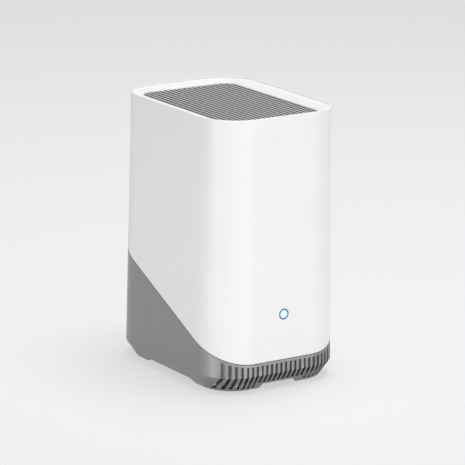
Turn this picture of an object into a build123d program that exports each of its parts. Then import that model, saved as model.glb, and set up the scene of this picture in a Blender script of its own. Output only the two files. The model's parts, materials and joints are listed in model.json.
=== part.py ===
from build123d import *
import os
from math import atan, cos, degrees, radians, sin, tan

os.makedirs("parts", exist_ok=True)

# Base station for wireless security cameras: a white drafted sleeve over a grey vented base.
# Millimetres. The origin is the centre of the footprint on the floor.
# +Z is up, the front faces -Y and the sockets face +Y.

# Body
height = 185.0
width = 104.0
depth = 136.5
corner_radius = 29.0
draft_share = 0.016
wall = 2.5

# Slanted seam between the sleeve and the base
seam_front = 19.75
seam_angle = 25.0
seam_gap = 0.4
tongue_rise = 3.0
tongue_root = 4.0
tongue_wall = 1.4

# Sunk roof and its grille
rim_width = 1.6
rim_radius = 0.7
dish_depth = 3.6
grille_side = 14.3
grille_end = 11.8
grille_radius = 10.5
grille_pitch = 3.7
grille_slot = 1.9
grille_thickness = 3.6

# Turned-in skirt, feet and fins of the base
bend_height = 10.8
bend_radius = 2.0
skirt_inset = 7.4
shoe_lift = 0.6
arch_height = 3.8
arch_length = 35.0
side_arch_height = 3.2
side_arch_length = 73.0
arch_slope = 60.0
side_arch_slope = 30.0
fin_pitch = 3.77
fin_slots = 24
groove_mouth = 2.5
groove_floor = 1.3
groove_depth = 1.7
groove_rail = 1.7
vent_width = 2.3
vent_rim = 1.6
vent_margin = 3.2

# Floor of the case
plate_lift = 4.2
plate_thickness = 2.5
foot_radius = 6.0
foot_thickness = 2.6
post_offset = 12.0
post_radius = 3.5
post_top = 24.0

# Drive bay, sized by a slim 2.5 inch drive
drive_thickness = 15.0
drive_width = 69.85
drive_length = 100.2
bay_clearance = 0.6

# Sockets and button
port_width = 34.0
port_height = 60.0
port_middle = 45.0
port_recess = 2.0
jack_width = 16.0
jack_height = 13.5
jack_length = 21.0
button_radius = 3.25
button_travel = 0.5

# Fan and siren
carrier_end = 9.75
fan_spacing = 3.0
fan_surplus = 1.5
fan_thickness = 15.0
fan_blades = 7

# Ring light
light_height = 51.1
light_radius = 3.9
light_line = 0.9

# Fits shared by all pieces
slip = 0.2
shaft_clearance = 0.05
overrun = 5.0
diagonal = 45.0
quarter_turn = 90.0
full_turn = 360.0


def shell_outline(z, inset):
    """Width, depth and corner radius of the drafted body at height z, moved in by inset."""
    shrink = draft_share * z + inset
    return width - 2 * shrink, depth - 2 * shrink, corner_radius - shrink


def skirt_outline(z, inset):
    """The same for the skirt, which turns in below the bend."""
    turn_in = skirt_inset * (bend_height - z) / bend_height
    return shell_outline(bend_height, inset + turn_in)


def seam_height(y):
    """Height of the seam at depth y."""
    return seam_front + (y + depth / 2) * tan(radians(seam_angle))


def drafted_body(low_z, high_z, inset, mode=Mode.ADD):
    """Length of the drafted body between two heights, moved in by inset."""
    with BuildSketch(Plane.XY.offset(low_z)) as base:
        RectangleRounded(*shell_outline(low_z, inset))
    extrude(base.sketch, amount=high_z - low_z, taper=degrees(atan(draft_share)), mode=mode)


def skirt_body(low_z, high_z, inset, mode=Mode.ADD):
    """Length of the turned-in skirt between two heights, moved in by inset."""
    with BuildSketch(Plane.XY.offset(high_z)) as top:
        RectangleRounded(*skirt_outline(high_z, inset))
    skirt_angle = degrees(atan(skirt_inset / bend_height))
    extrude(top.sketch, amount=low_z - high_z, taper=skirt_angle, mode=mode)


def dish(shift, mode):
    """Sloping dish in the roof, moved up by shift, from the grille's outline to the rim."""
    with BuildSketch(Plane.XY.offset(grille_top + shift)) as dish_floor:
        RectangleRounded(*grille_outline)
    with BuildSketch(Plane.XY.offset(height + shift)) as dish_mouth:
        RectangleRounded(*shell_outline(height, rim_width))
    loft([dish_floor.sketch.face(), dish_mouth.sketch.face()], ruled=True, mode=mode)


def block(x_span, y_span, z_span, mode=Mode.ADD):
    """Square-cornered block between two corners."""
    with BuildSketch(Plane.XY.offset(z_span[0])) as base:
        with Locations((sum(x_span) / 2, sum(y_span) / 2)):
            Rectangle(x_span[1] - x_span[0], y_span[1] - y_span[0])
    extrude(base.sketch, amount=z_span[1] - z_span[0], mode=mode)


def bar(plane, radius, length, mode=Mode.ADD):
    """Round bar that stands up from a plane."""
    with BuildSketch(plane) as base:
        Circle(radius)
    extrude(base.sketch, amount=length, mode=mode)


def upright(x, y, low_z, high_z, radius, mode=Mode.ADD):
    """Vertical round bar."""
    bar(Plane((x, y, low_z)), radius, high_z - low_z, mode)


def screw(plane, head_radius, head_height, shank_radius, shank_length):
    """Pan-head screw: the plane is the face that the head bears on, and points out of the head."""
    bar(plane, head_radius, head_height)
    bar(plane, shank_radius, -shank_length)


def both_signs(x, y):
    """The four places at plus and minus x and y."""
    return [(sx * x, sy * y) for sx in (-1, 1) for sy in (-1, 1)]


seam_plane = Plane(
    origin=(0, -depth / 2, seam_front),
    x_dir=(1, 0, 0),
    z_dir=(0, -sin(radians(seam_angle)), cos(radians(seam_angle))),
)
corner_x = width / 2 - corner_radius
corner_y = depth / 2 - corner_radius
post_x = corner_x + post_offset * cos(radians(diagonal))
post_y = corner_y + post_offset * sin(radians(diagonal))
posts = both_signs(post_x, post_y)
plate_top = plate_lift + plate_thickness
grille_top = height - dish_depth
grille_width = width - 2 * grille_side
grille_depth = depth - 2 * grille_end
grille_slots = int(grille_width / grille_pitch)
grille_outline = (grille_width, grille_depth, grille_radius)
housing_reach = seam_height(depth / 2) + overrun
roof_underside = grille_top - wall

# Corner columns of the sleeve, the base's posts below them and the case screws through both
case_shank = 1.5
case_head = 2.8
case_head_height = 1.8
case_bite = 8.0
column_anchor = 20.0
column_rib = 1.6
column_clearance = 5.0


def wall_ribs(low_z_of, high_z_of):
    """Ribs from the corner posts to the drafted wall, each between two heights."""
    for x, y in posts:
        low_z = low_z_of(y)
        high_z = high_z_of(y)
        reach = corner_radius - draft_share * high_z - wall / 2 - post_offset
        side_x = 1 if x > 0 else -1
        side_y = 1 if y > 0 else -1
        lean = Vector(side_x, side_y, 0)
        with BuildSketch(Plane(origin=(x, y, low_z), x_dir=lean, z_dir=(0, 0, 1))) as rib:
            Rectangle(reach, column_rib, align=(Align.MIN, Align.CENTER))
        extrude(rib.sketch, amount=high_z - low_z)


def column_low(y):
    """Height where a column's rib starts, clear above the tongue of the base."""
    return seam_height(y + corner_radius - post_offset) + column_clearance


def column_high(y):
    """Top of a column of the sleeve."""
    return column_low(y) + column_anchor


# Space inside the sleeve, up to the underside of its sunk roof
with BuildPart() as sleeve_cavity:
    drafted_body(0, height - wall, wall)
    dish(-wall, Mode.SUBTRACT)

# Roof bosses that the upper carrier hangs from
grille_flange = 2.0
carrier_drop = 21.4
carrier_thickness = 2.0
boss_radius = 2.8
boss_y_share = 0.62
boss_x = (width / 2 - draft_share * height - wall + grille_width / 2 + grille_flange) / 2
boss_y = boss_y_share * depth / 2
roof_bosses = both_signs(boss_x, boss_y)
carrier_top = grille_top - carrier_drop
carrier_z = carrier_top - carrier_thickness
carrier_shank = 1.25
carrier_bite = 7.0

# Ring light in the front wall
light_y = -(depth / 2 - draft_share * light_height)
light_clearance = 0.05
light_plane = Plane(origin=(0, light_y, light_height), x_dir=(1, 0, 0), z_dir=(0, 1, 0))
light_flange_radius = 5.6
light_flange = 1.2
light_seat = 0.15
led_board_gap = 6.0
led_board_thickness = 1.0
led_board_width = 12.0
led_board_height = 26.0
led_boss_radius = 2.2
led_boss_rise = 9.5
led_screw_shank = 0.9
led_bosses = [light_height - led_boss_rise, light_height + led_boss_rise]


def front_plane(x, z, inset):
    """Plane behind the front wall that looks towards the back of the case."""
    return Plane(origin=(x, light_y + inset, z), x_dir=(1, 0, 0), z_dir=(0, 1, 0))


with BuildPart() as outer_sleeve:
    drafted_body(0, height, 0)
    dish(0, Mode.SUBTRACT)
    rim_edges = faces().sort_by(Axis.Z)[-1].edges()
    fillet(rim_edges, rim_radius)
    add(sleeve_cavity.part, mode=Mode.SUBTRACT)
    with BuildSketch(Plane.XY.offset(roof_underside)) as roof_opening:
        RectangleRounded(*grille_outline)
    extrude(roof_opening.sketch, amount=wall, mode=Mode.SUBTRACT)
    split(bisect_by=seam_plane.offset(seam_gap / 2), keep=Keep.TOP)
    bar(light_plane.offset(-overrun), light_radius + light_clearance, 2 * overrun, Mode.SUBTRACT)
    for x, y in roof_bosses:
        upright(x, y, carrier_top, grille_top, boss_radius)
        upright(x, y, carrier_top, carrier_top + carrier_bite, carrier_shank + shaft_clearance, Mode.SUBTRACT)
    for x, y in posts:
        upright(x, y, post_top + slip, column_high(y), post_radius)
    wall_ribs(column_low, column_high)
    for x, y in posts:
        upright(x, y, post_top, post_top + case_bite + slip, case_shank + shaft_clearance, Mode.SUBTRACT)
    for z in led_bosses:
        bar(front_plane(0, z, wall / 2), led_boss_radius, led_board_gap + wall / 2)
        bar(front_plane(0, z, wall), led_screw_shank + shaft_clearance, led_board_gap, Mode.SUBTRACT)
outer_sleeve.part.label = "outer_sleeve"
export_step(outer_sleeve.part, "parts/outer_sleeve.step")

# Grille: a plate that fills the roof opening, on a flange that seats under the roof
grille_border = 1.2
with BuildPart() as top_grille:
    with BuildSketch(Plane.XY.offset(grille_top - grille_thickness)):
        RectangleRounded(grille_width - 2 * slip, grille_depth - 2 * slip, grille_radius - slip)
    extrude(amount=grille_thickness)
    with BuildSketch(Plane.XY.offset(grille_top - grille_thickness)):
        RectangleRounded(
            grille_width + 2 * grille_flange,
            grille_depth + 2 * grille_flange,
            grille_radius + grille_flange,
        )
    extrude(amount=grille_thickness - wall)
    with BuildSketch(Plane.XY.offset(grille_top - grille_thickness)):
        with GridLocations(grille_pitch, 0, grille_slots, 1):
            Rectangle(grille_slot, grille_depth)
        RectangleRounded(
            grille_width - 2 * grille_border,
            grille_depth - 2 * grille_border,
            grille_radius - grille_border,
            mode=Mode.INTERSECT,
        )
    extrude(amount=grille_thickness, mode=Mode.SUBTRACT)
top_grille.part.label = "top_grille"
export_step(top_grille.part, "parts/top_grille.step")

# Ring light: a clear guide with a bored face, a disc in the bore and the board behind it
cap_depth = 1.0
with BuildPart() as led_light_ring:
    bar(light_plane, light_radius, wall + light_seat)
    bar(light_plane.offset(wall + light_seat), light_flange_radius, light_flange)
    bar(light_plane, light_radius - light_line, cap_depth, Mode.SUBTRACT)
led_light_ring.part.label = "led_light_ring"
export_step(led_light_ring.part, "parts/led_light_ring.step")

with BuildPart() as led_cap:
    bar(light_plane, light_radius - light_line - light_clearance, cap_depth)
led_cap.part.label = "led_cap"
export_step(led_cap.part, "parts/led_cap.step")

with BuildPart() as led_board:
    with BuildSketch(front_plane(0, light_height, wall + led_board_gap)):
        RectangleRounded(led_board_width, led_board_height, led_board_thickness)
    extrude(amount=led_board_thickness)
    for z in led_bosses:
        bar(
            front_plane(0, z, wall + led_board_gap),
            led_screw_shank + shaft_clearance,
            led_board_thickness,
            Mode.SUBTRACT,
        )
led_board.part.label = "led_board"
export_step(led_board.part, "parts/led_board.step")

led_chip_size = 3.2
led_chip_height = 1.4
led_chip_round = 0.4
with BuildPart() as led_chip:
    with BuildSketch(front_plane(0, light_height, wall + led_board_gap)):
        RectangleRounded(led_chip_size, led_chip_size, led_chip_round)
    extrude(amount=-led_chip_height)
led_chip.part.label = "led_chip"
export_step(led_chip.part, "parts/led_chip.step")

led_head = 1.7
led_head_height = 1.0
with BuildPart() as led_screws:
    for z in led_bosses:
        screw(
            front_plane(0, z, wall + led_board_gap + led_board_thickness),
            led_head,
            led_head_height,
            led_screw_shank,
            led_board_gap,
        )
led_screws.part.label = "led_screws"
export_step(led_screws.part, "parts/led_screws.step")

# Tongue of the base that stands inside the sleeve, and the thicker wall that it grows from
tongue_out = wall + slip
tongue_in = tongue_out + tongue_wall


def seam_ring(outer_inset, inner_inset):
    """Full-height ring of the drafted body, to be trimmed along the seam."""
    drafted_body(0, housing_reach, outer_inset)
    drafted_body(0, housing_reach, inner_inset, Mode.SUBTRACT)


with BuildPart() as tongue:
    seam_ring(tongue_out, tongue_in)
    split(bisect_by=seam_plane.offset(tongue_rise), keep=Keep.BOTTOM)
    split(bisect_by=seam_plane.offset(-tongue_root), keep=Keep.TOP)

with BuildPart() as tongue_base:
    seam_ring(wall / 2, tongue_in)
    split(bisect_by=seam_plane.offset(-seam_gap / 2), keep=Keep.BOTTOM)
    split(bisect_by=seam_plane.offset(-tongue_root), keep=Keep.TOP)

# Grooves and vents of the finned band: all run front to back at one pitch across the width
vent_reach = skirt_inset + wall + vent_margin
fin_places = [(i - (fin_slots - 1) / 2) * fin_pitch for i in range(fin_slots)]


def front_edge(x, inset):
    """Depth of the body's front face at x."""
    past = max(abs(x) - corner_x, 0)
    radius = corner_radius - inset
    return -corner_y - (radius**2 - min(past, radius) ** 2) ** (1 / 2)


with BuildPart() as grooves:
    for x in fin_places:
        with BuildSketch(Plane.XY.offset(bend_height)):
            with BuildLine():
                face_y = front_edge(x, 0)
                Polyline(
                    (x - groove_mouth / 2, face_y - overrun),
                    (x + groove_mouth / 2, face_y - overrun),
                    (x + groove_mouth / 2, face_y),
                    (x + groove_floor / 2, face_y + groove_depth),
                    (x - groove_floor / 2, face_y + groove_depth),
                    (x - groove_mouth / 2, face_y),
                    close=True,
                )
            make_face()
        extrude(amount=housing_reach - bend_height)
    split(bisect_by=seam_plane.offset(-groove_rail), keep=Keep.BOTTOM)
    for x in fin_places:
        over_arch = abs(x) < (arch_length + fin_pitch) / 2
        vent_low = vent_rim + (arch_height if over_arch else shoe_lift)
        face_y = front_edge(x, 0)
        block(
            (x - vent_width / 2, x + vent_width / 2),
            (face_y - vent_rim, face_y + vent_reach),
            (vent_low, bend_height),
        )

# Rear socket opening: a pad inside the wall, a rebate for the panel and a hole through
port_face = depth / 2 - port_recess
panel_thickness = 1.5
panel_back = port_face - panel_thickness
ledge_thickness = 2.0
ledge_width = 2.5
pad_land = 3.0
port_low = port_middle - port_height / 2
port_high = port_middle + port_height / 2

with BuildPart() as base_housing:
    skirt_body(shoe_lift, bend_height, 0)
    drafted_body(bend_height, housing_reach, 0)
    fillet(edges().filter_by_position(Axis.Z, bend_height, bend_height), bend_radius)
    skirt_body(0, bend_height, wall, Mode.SUBTRACT)
    drafted_body(bend_height, housing_reach, wall, Mode.SUBTRACT)
    split(bisect_by=seam_plane.offset(-seam_gap / 2), keep=Keep.BOTTOM)
    add(tongue.part)
    add(tongue_base.part)
    for x, y in posts:
        upright(x, y, plate_top, post_top, post_radius)
    wall_ribs(lambda y: bend_height, lambda y: post_top)
    for x, y in posts:
        upright(x, y, plate_top, post_top, case_shank + slip, Mode.SUBTRACT)
    block(
        (-port_width / 2 - pad_land, port_width / 2 + pad_land),
        (panel_back - ledge_thickness, port_face),
        (port_low - pad_land, port_high + pad_land),
    )
    block(
        (-port_width / 2 - slip, port_width / 2 + slip),
        (panel_back, port_face + overrun),
        (port_low - slip, port_high + slip),
        Mode.SUBTRACT,
    )
    block(
        (-port_width / 2 + ledge_width, port_width / 2 - ledge_width),
        (panel_back - ledge_thickness - overrun, panel_back),
        (port_low + ledge_width, port_high - ledge_width),
        Mode.SUBTRACT,
    )
    with BuildSketch(Plane.XZ):
        Trapezoid(arch_length, 2 * arch_height, arch_slope)
    extrude(amount=depth, both=True, mode=Mode.SUBTRACT)
    with BuildSketch(Plane.YZ):
        Trapezoid(side_arch_length, 2 * side_arch_height, side_arch_slope)
    extrude(amount=width, both=True, mode=Mode.SUBTRACT)
    add(grooves.part, mode=Mode.SUBTRACT)
base_housing.part.label = "base_housing"
export_step(base_housing.part, "parts/base_housing.step")

# Floor plate: goes in from below, seats under the corner posts, carries the feet, frame and bay door
plate_rim = 1.2
plate_rim_rise = 3.0
foot_recess = 0.6
foot_land = 0.4
foot_boss_low = foot_thickness - foot_recess
head_floor = foot_thickness + case_head_height + slip
plate_width, plate_depth, plate_radius = skirt_outline(shoe_lift, wall + slip)

# Open-ended cage for the drive, and the door below it
cage_wall = 1.2
frame_share = 0.1154
frame_x = frame_share * width
frame_thickness = 2.0
bay_x_low = frame_x + frame_thickness + cage_wall
bay_x_high = bay_x_low + drive_thickness + bay_clearance
bay_x = (bay_x_low + bay_x_high) / 2
bay_y = (drive_width + bay_clearance) / 2
cage_y = bay_y + cage_wall
door_thickness = 1.2
door_gap = 0.3
door_overlap = 2.5
door_lug_reach = 7.6
door_lug_width = 7.0
door_screw_inset = 3.5
door_shank = 1.2
door_head = 2.1
door_head_height = 1.2
door_bite = 5.0
door_boss_radius = 2.8
door_boss_top = plate_lift + door_thickness + door_bite
door_y = bay_y + door_lug_reach
door_screw_places = [(bay_x, sign * (door_y - door_screw_inset)) for sign in (-1, 1)]
bay_low = plate_lift + door_thickness + bay_clearance
bay_high = bay_low + drive_length + bay_clearance
cage_top = bay_high + cage_wall

# Frame that stands on the plate and carries the main board and the cage
cage_ear = 8.0
cage_ear_height = 12.0
cage_ear_y = cage_y + cage_ear / 2
cage_ear_low = 30.0
cage_ear_high = 95.0
frame_seat = 2.0
frame_boss_radius = 3.0
frame_boss_rise = 3.3
frame_shank = 1.25
frame_head = 2.4
frame_head_height = 1.4
frame_border = 1.3
frame_flange = 26.0
frame_low = plate_top + frame_seat
chamber_share = 0.52
frame_headroom = 6.0
board_headroom = 10.0
chamber_low = cage_top + chamber_share * (carrier_z - cage_top)
frame_high = chamber_low - frame_headroom
board_edge_gap = 0.8
board_thickness = 1.6
board_edge = 0.7
board_low = 16.0
board_standoff = 2.4
board_x = frame_x - board_standoff - board_thickness
board_back = panel_back - ledge_thickness - board_edge_gap
board_high = chamber_low - board_headroom
board_rise = board_high - board_low
frame_front = -cage_y - cage_ear - frame_border
board_front = frame_front + board_edge
frame_back = board_back - cage_ear
frame_screw_x = [-frame_flange / 2 + frame_boss_radius, board_x / 2 + frame_boss_radius / 2]
frame_screw_y = [frame_front + cage_ear, frame_back - cage_ear]
frame_screw_places = [(x, y) for x in frame_screw_x for y in frame_screw_y]


def plate_layer(low_z, high_z, inset, mode=Mode.ADD):
    """Layer of the floor plate, moved in by inset."""
    with BuildSketch(Plane.XY.offset(low_z)) as layer:
        RectangleRounded(plate_width - 2 * inset, plate_depth - 2 * inset, plate_radius - inset)
    extrude(layer.sketch, amount=high_z - low_z, mode=mode)


def door_layer(low_z, high_z, gap, mode=Mode.ADD):
    """Outline of the door with its two lugs, grown by gap."""
    with BuildSketch(Plane.XY.offset(low_z)) as layer:
        with Locations((bay_x, 0)):
            Rectangle(
                bay_x_high - bay_x_low + 2 * (door_overlap + gap),
                2 * (bay_y + door_overlap + gap),
            )
            SlotOverall(2 * (door_y + gap), door_lug_width + 2 * gap, rotation=quarter_turn)
    extrude(layer.sketch, amount=high_z - low_z, mode=mode)


with BuildPart() as base_plate:
    plate_layer(plate_lift, plate_top + plate_rim_rise, 0)
    plate_layer(plate_top, plate_top + plate_rim_rise, plate_rim, Mode.SUBTRACT)
    for x, y in posts:
        upright(x, y, foot_boss_low, plate_lift, foot_radius + foot_land)
        upright(x, y, foot_boss_low, foot_thickness, foot_radius + shaft_clearance, Mode.SUBTRACT)
        upright(x, y, foot_thickness, head_floor, case_head + slip, Mode.SUBTRACT)
        upright(x, y, head_floor, plate_top, case_shank + slip, Mode.SUBTRACT)
    for x, y in frame_screw_places:
        upright(x, y, plate_top, frame_low, frame_boss_radius)
        upright(x, y, plate_lift, frame_low, frame_shank + slip, Mode.SUBTRACT)
    door_layer(plate_lift, plate_lift + door_thickness + door_gap, door_gap, Mode.SUBTRACT)
    block((bay_x_low, bay_x_high), (-bay_y, bay_y), (plate_lift, plate_top), Mode.SUBTRACT)
    for x, y in door_screw_places:
        upright(x, y, plate_top, door_boss_top, door_boss_radius)
        upright(x, y, plate_lift, door_boss_top, door_shank + shaft_clearance, Mode.SUBTRACT)
base_plate.part.label = "base_plate"
export_step(base_plate.part, "parts/base_plate.step")

with BuildPart() as rubber_feet:
    for x, y in posts:
        upright(x, y, 0, foot_thickness, foot_radius)
    chamfer(edges().group_by(Axis.Z)[0], foot_recess / 2)
rubber_feet.part.label = "rubber_feet"
export_step(rubber_feet.part, "parts/rubber_feet.step")

with BuildPart() as case_screws:
    for x, y in posts:
        bearing = Plane(origin=(x, y, head_floor), x_dir=(1, 0, 0), z_dir=(0, 0, -1))
        screw(bearing, case_head, case_head_height, case_shank, post_top + case_bite - head_floor)
case_screws.part.label = "case_screws"
export_step(case_screws.part, "parts/case_screws.step")

with BuildPart() as drive_bay_door:
    door_layer(plate_lift, plate_lift + door_thickness, 0)
    for x, y in door_screw_places:
        upright(x, y, plate_lift, plate_lift + door_thickness, door_shank + shaft_clearance, Mode.SUBTRACT)
drive_bay_door.part.label = "drive_bay_door"
export_step(drive_bay_door.part, "parts/drive_bay_door.step")

with BuildPart() as door_screws:
    for x, y in door_screw_places:
        bearing = Plane(origin=(x, y, plate_lift), x_dir=(1, 0, 0), z_dir=(0, 0, -1))
        screw(bearing, door_head, door_head_height, door_shank, door_thickness + door_bite - slip)
door_screws.part.label = "door_screws"
export_step(door_screws.part, "parts/door_screws.step")


def side_plane(x, y, z, direction):
    """Plane square to X that looks towards +X or -X."""
    return Plane(origin=(x, y, z), x_dir=(0, 1, 0), z_dir=(direction, 0, 0))


standoff_radius = 3.0
board_shank = 1.25
board_head = 2.3
board_head_height = 1.4
board_hole_inset = 5.0
board_hole_back = 16.0
frame_slot = 10.0
frame_slot_length = 30.0
frame_slot_pitch_y = 20.0
frame_slot_pitch_z = 38.0
frame_slot_columns = 3
frame_slot_rows = 2
board_hole_y = [board_front + board_hole_inset, frame_back - board_hole_back]
board_hole_z = [board_low + board_hole_inset, board_high - board_hole_inset]
board_holes = [(y, z) for y in board_hole_y for z in board_hole_z]
cage_ears = [(sign * cage_ear_y, z) for sign in (-1, 1) for z in (cage_ear_low, cage_ear_high)]
web_middle = (cage_ear_low + cage_ear_high) / 2

with BuildPart() as inner_frame:
    block((frame_x, frame_x + frame_thickness), (frame_front, frame_back), (frame_low, frame_high))
    with BuildSketch(side_plane(frame_x, 0, web_middle, 1)) as web_slots:
        with GridLocations(
            frame_slot_pitch_y, frame_slot_pitch_z, frame_slot_columns, frame_slot_rows,
        ):
            SlotOverall(frame_slot_length, frame_slot, rotation=quarter_turn)
    extrude(web_slots.sketch, amount=frame_thickness, mode=Mode.SUBTRACT)
    block(
        (frame_x + frame_thickness - frame_flange, frame_x + frame_thickness),
        (frame_front, frame_back),
        (frame_low, frame_low + frame_thickness),
    )
    for x, y in frame_screw_places:
        upright(x, y, frame_low, frame_low + frame_thickness + frame_boss_rise, frame_boss_radius)
        upright(
            x, y, frame_low, frame_low + frame_thickness + frame_boss_rise,
            frame_shank + shaft_clearance, Mode.SUBTRACT,
        )
    for y, z in board_holes:
        bar(side_plane(frame_x, y, z, -1), standoff_radius, board_standoff)
        bar(
            side_plane(frame_x - board_standoff, y, z, 1),
            board_shank + shaft_clearance,
            board_standoff + frame_thickness,
            Mode.SUBTRACT,
        )
    for y, z in cage_ears:
        bar(side_plane(frame_x, y, z, 1), board_shank + shaft_clearance, frame_thickness, Mode.SUBTRACT)
inner_frame.part.label = "inner_frame"
export_step(inner_frame.part, "parts/inner_frame.step")

with BuildPart() as frame_screws:
    for x, y in frame_screw_places:
        bearing = Plane(origin=(x, y, plate_lift), x_dir=(1, 0, 0), z_dir=(0, 0, -1))
        screw(
            bearing, frame_head, frame_head_height, frame_shank,
            frame_low + frame_thickness + frame_boss_rise - slip - plate_lift,
        )
frame_screws.part.label = "frame_screws"
export_step(frame_screws.part, "parts/frame_screws.step")

cage_slot = 8.0
cage_slot_share = 0.7
cage_slots = 3
sata_slot_width = 7.0
sata_slot_length = 44.0
sata_screw_reach = 28.0
with BuildPart() as drive_cage:
    block((bay_x_low - cage_wall, bay_x_high + cage_wall), (-cage_y, cage_y), (plate_top, cage_top))
    block((bay_x_low, bay_x_high), (-bay_y, bay_y), (plate_top, bay_high), Mode.SUBTRACT)
    with BuildSketch(side_plane(bay_x_high, 0, (plate_top + cage_top) / 2, 1)) as cage_slots_sketch:
        with GridLocations(2 * bay_y / cage_slots, 0, cage_slots, 1):
            SlotOverall((cage_top - plate_top) * cage_slot_share, cage_slot, rotation=quarter_turn)
    extrude(cage_slots_sketch.sketch, amount=cage_wall, mode=Mode.SUBTRACT)
    block(
        (bay_x - sata_slot_width / 2, bay_x + sata_slot_width / 2),
        (-sata_slot_length / 2, sata_slot_length / 2),
        (bay_high, cage_top),
        Mode.SUBTRACT,
    )
    for y, z in cage_ears:
        block(
            (bay_x_low - cage_wall, bay_x_low),
            (y - cage_ear / 2, y + cage_ear / 2),
            (z - cage_ear_height / 2, z + cage_ear_height / 2),
        )
        bar(side_plane(bay_x_low, y, z, -1), board_shank + shaft_clearance, cage_wall, Mode.SUBTRACT)
    for y in (-sata_screw_reach, sata_screw_reach):
        upright(bay_x, y, bay_high, cage_top, door_shank + shaft_clearance, Mode.SUBTRACT)
drive_cage.part.label = "drive_cage"
export_step(drive_cage.part, "parts/drive_cage.step")

with BuildPart() as cage_screws:
    for y, z in cage_ears:
        screw(
            side_plane(bay_x_low, y, z, 1), board_head, board_head_height, board_shank,
            cage_wall + frame_thickness,
        )
cage_screws.part.label = "cage_screws"
export_step(cage_screws.part, "parts/cage_screws.step")

sata_board_thickness = 1.5
sata_board_width = 17.0
sata_board_length = 62.0
sata_socket_width = 5.0
sata_socket_length = 42.0
sata_socket_reach = 5.0
sata_tongue = 1.2
sata_tongue_length = 33.4
with BuildPart() as sata_board:
    block(
        (bay_x - sata_board_width / 2, bay_x + sata_board_width / 2),
        (-sata_board_length / 2, sata_board_length / 2),
        (cage_top, cage_top + sata_board_thickness),
    )
    for y in (-sata_screw_reach, sata_screw_reach):
        upright(bay_x, y, cage_top, cage_top + sata_board_thickness, door_shank + slip, Mode.SUBTRACT)
sata_board.part.label = "sata_board"
export_step(sata_board.part, "parts/sata_board.step")

# Socket that hangs into the bay: a shell with a pocket, and the tongue that carries the contacts
with BuildPart() as sata_socket:
    block(
        (bay_x - sata_socket_width / 2, bay_x + sata_socket_width / 2),
        (-sata_socket_length / 2, sata_socket_length / 2),
        (bay_high - sata_socket_reach, cage_top),
    )
    block(
        (bay_x - sata_socket_width / 2 + sata_tongue, bay_x + sata_socket_width / 2 - sata_tongue),
        (-sata_socket_length / 2 + sata_tongue, sata_socket_length / 2 - sata_tongue),
        (bay_high - sata_socket_reach, bay_high),
        Mode.SUBTRACT,
    )
    block(
        (bay_x - sata_tongue / 2, bay_x + sata_tongue / 2),
        (-sata_tongue_length / 2, sata_tongue_length / 2),
        (bay_high - sata_socket_reach, bay_high),
    )
sata_socket.part.label = "sata_socket"
export_step(sata_socket.part, "parts/sata_socket.step")

with BuildPart() as sata_screws:
    for y in (-sata_screw_reach, sata_screw_reach):
        screw(
            Plane((bay_x, y, cage_top + sata_board_thickness)), door_head, door_head_height, door_shank,
            sata_board_thickness + cage_wall,
        )
sata_screws.part.label = "sata_screws"
export_step(sata_screws.part, "parts/sata_screws.step")

# Main board and what stands on it
sink_share = 0.5
sink_width = 50.0
sink_base = 3.0
sink_fins = 9
sink_fin = 1.2
sink_fin_height = 16.0
sink_ear = 7.0
chip_size = 20.0
chip_height = 2.0
pad_thickness = 1.0
chip_y = -5.0
chip_share = 0.639
chip_z = board_low + chip_share * board_rise
sink_length = sink_share * board_rise
sink_boss_radius = 2.5
sink_x = board_x - chip_height - pad_thickness
sink_screw_z = [chip_z + sign * (sink_length + sink_ear) / 2 for sign in (-1, 1)]
with BuildPart() as main_board:
    block((board_x, board_x + board_thickness), (board_front, board_back), (board_low, board_high))
    for y, z in board_holes:
        bar(side_plane(board_x, y, z, 1), board_shank + slip, board_thickness, Mode.SUBTRACT)
    for z in sink_screw_z:
        bar(side_plane(board_x, chip_y, z, 1), board_shank + slip, board_thickness, Mode.SUBTRACT)
main_board.part.label = "main_board"
export_step(main_board.part, "parts/main_board.step")

with BuildPart() as board_screws:
    for y, z in board_holes:
        screw(
            side_plane(board_x, y, z, -1), board_head, board_head_height, board_shank,
            board_thickness + board_standoff + frame_thickness / 2,
        )
board_screws.part.label = "board_screws"
export_step(board_screws.part, "parts/board_screws.step")

with BuildPart() as processor:
    block(
        (board_x - chip_height, board_x),
        (chip_y - chip_size / 2, chip_y + chip_size / 2),
        (chip_z - chip_size / 2, chip_z + chip_size / 2),
    )
processor.part.label = "processor"
export_step(processor.part, "parts/processor.step")

with BuildPart() as thermal_pad:
    block(
        (sink_x, board_x - chip_height),
        (chip_y - chip_size / 2, chip_y + chip_size / 2),
        (chip_z - chip_size / 2, chip_z + chip_size / 2),
    )
thermal_pad.part.label = "thermal_pad"
export_step(thermal_pad.part, "parts/thermal_pad.step")

with BuildPart() as heatsink:
    block(
        (sink_x - sink_base, sink_x),
        (chip_y - sink_width / 2, chip_y + sink_width / 2),
        (chip_z - sink_length / 2 - sink_ear, chip_z + sink_length / 2 + sink_ear),
    )
    with BuildSketch(side_plane(sink_x - sink_base, chip_y, chip_z, -1)) as fin_outlines:
        with GridLocations((sink_width - sink_fin) / (sink_fins - 1), 0, sink_fins, 1):
            Rectangle(sink_fin, sink_length)
    extrude(fin_outlines.sketch, amount=sink_fin_height)
    for z in sink_screw_z:
        bar(side_plane(board_x, chip_y, z, -1), sink_boss_radius, board_x - sink_x)
        bar(
            side_plane(board_x, chip_y, z, -1), board_shank + shaft_clearance,
            board_x - sink_x + sink_base, Mode.SUBTRACT,
        )
heatsink.part.label = "heatsink"
export_step(heatsink.part, "parts/heatsink.step")

sink_screw_head = 1.2
with BuildPart() as heatsink_screws:
    for z in sink_screw_z:
        screw(
            side_plane(board_x + board_thickness, chip_y, z, 1), board_head, sink_screw_head, board_shank,
            board_thickness + board_x - sink_x + sink_base / 2,
        )
heatsink_screws.part.label = "heatsink_screws"
export_step(heatsink_screws.part, "parts/heatsink_screws.step")

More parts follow.
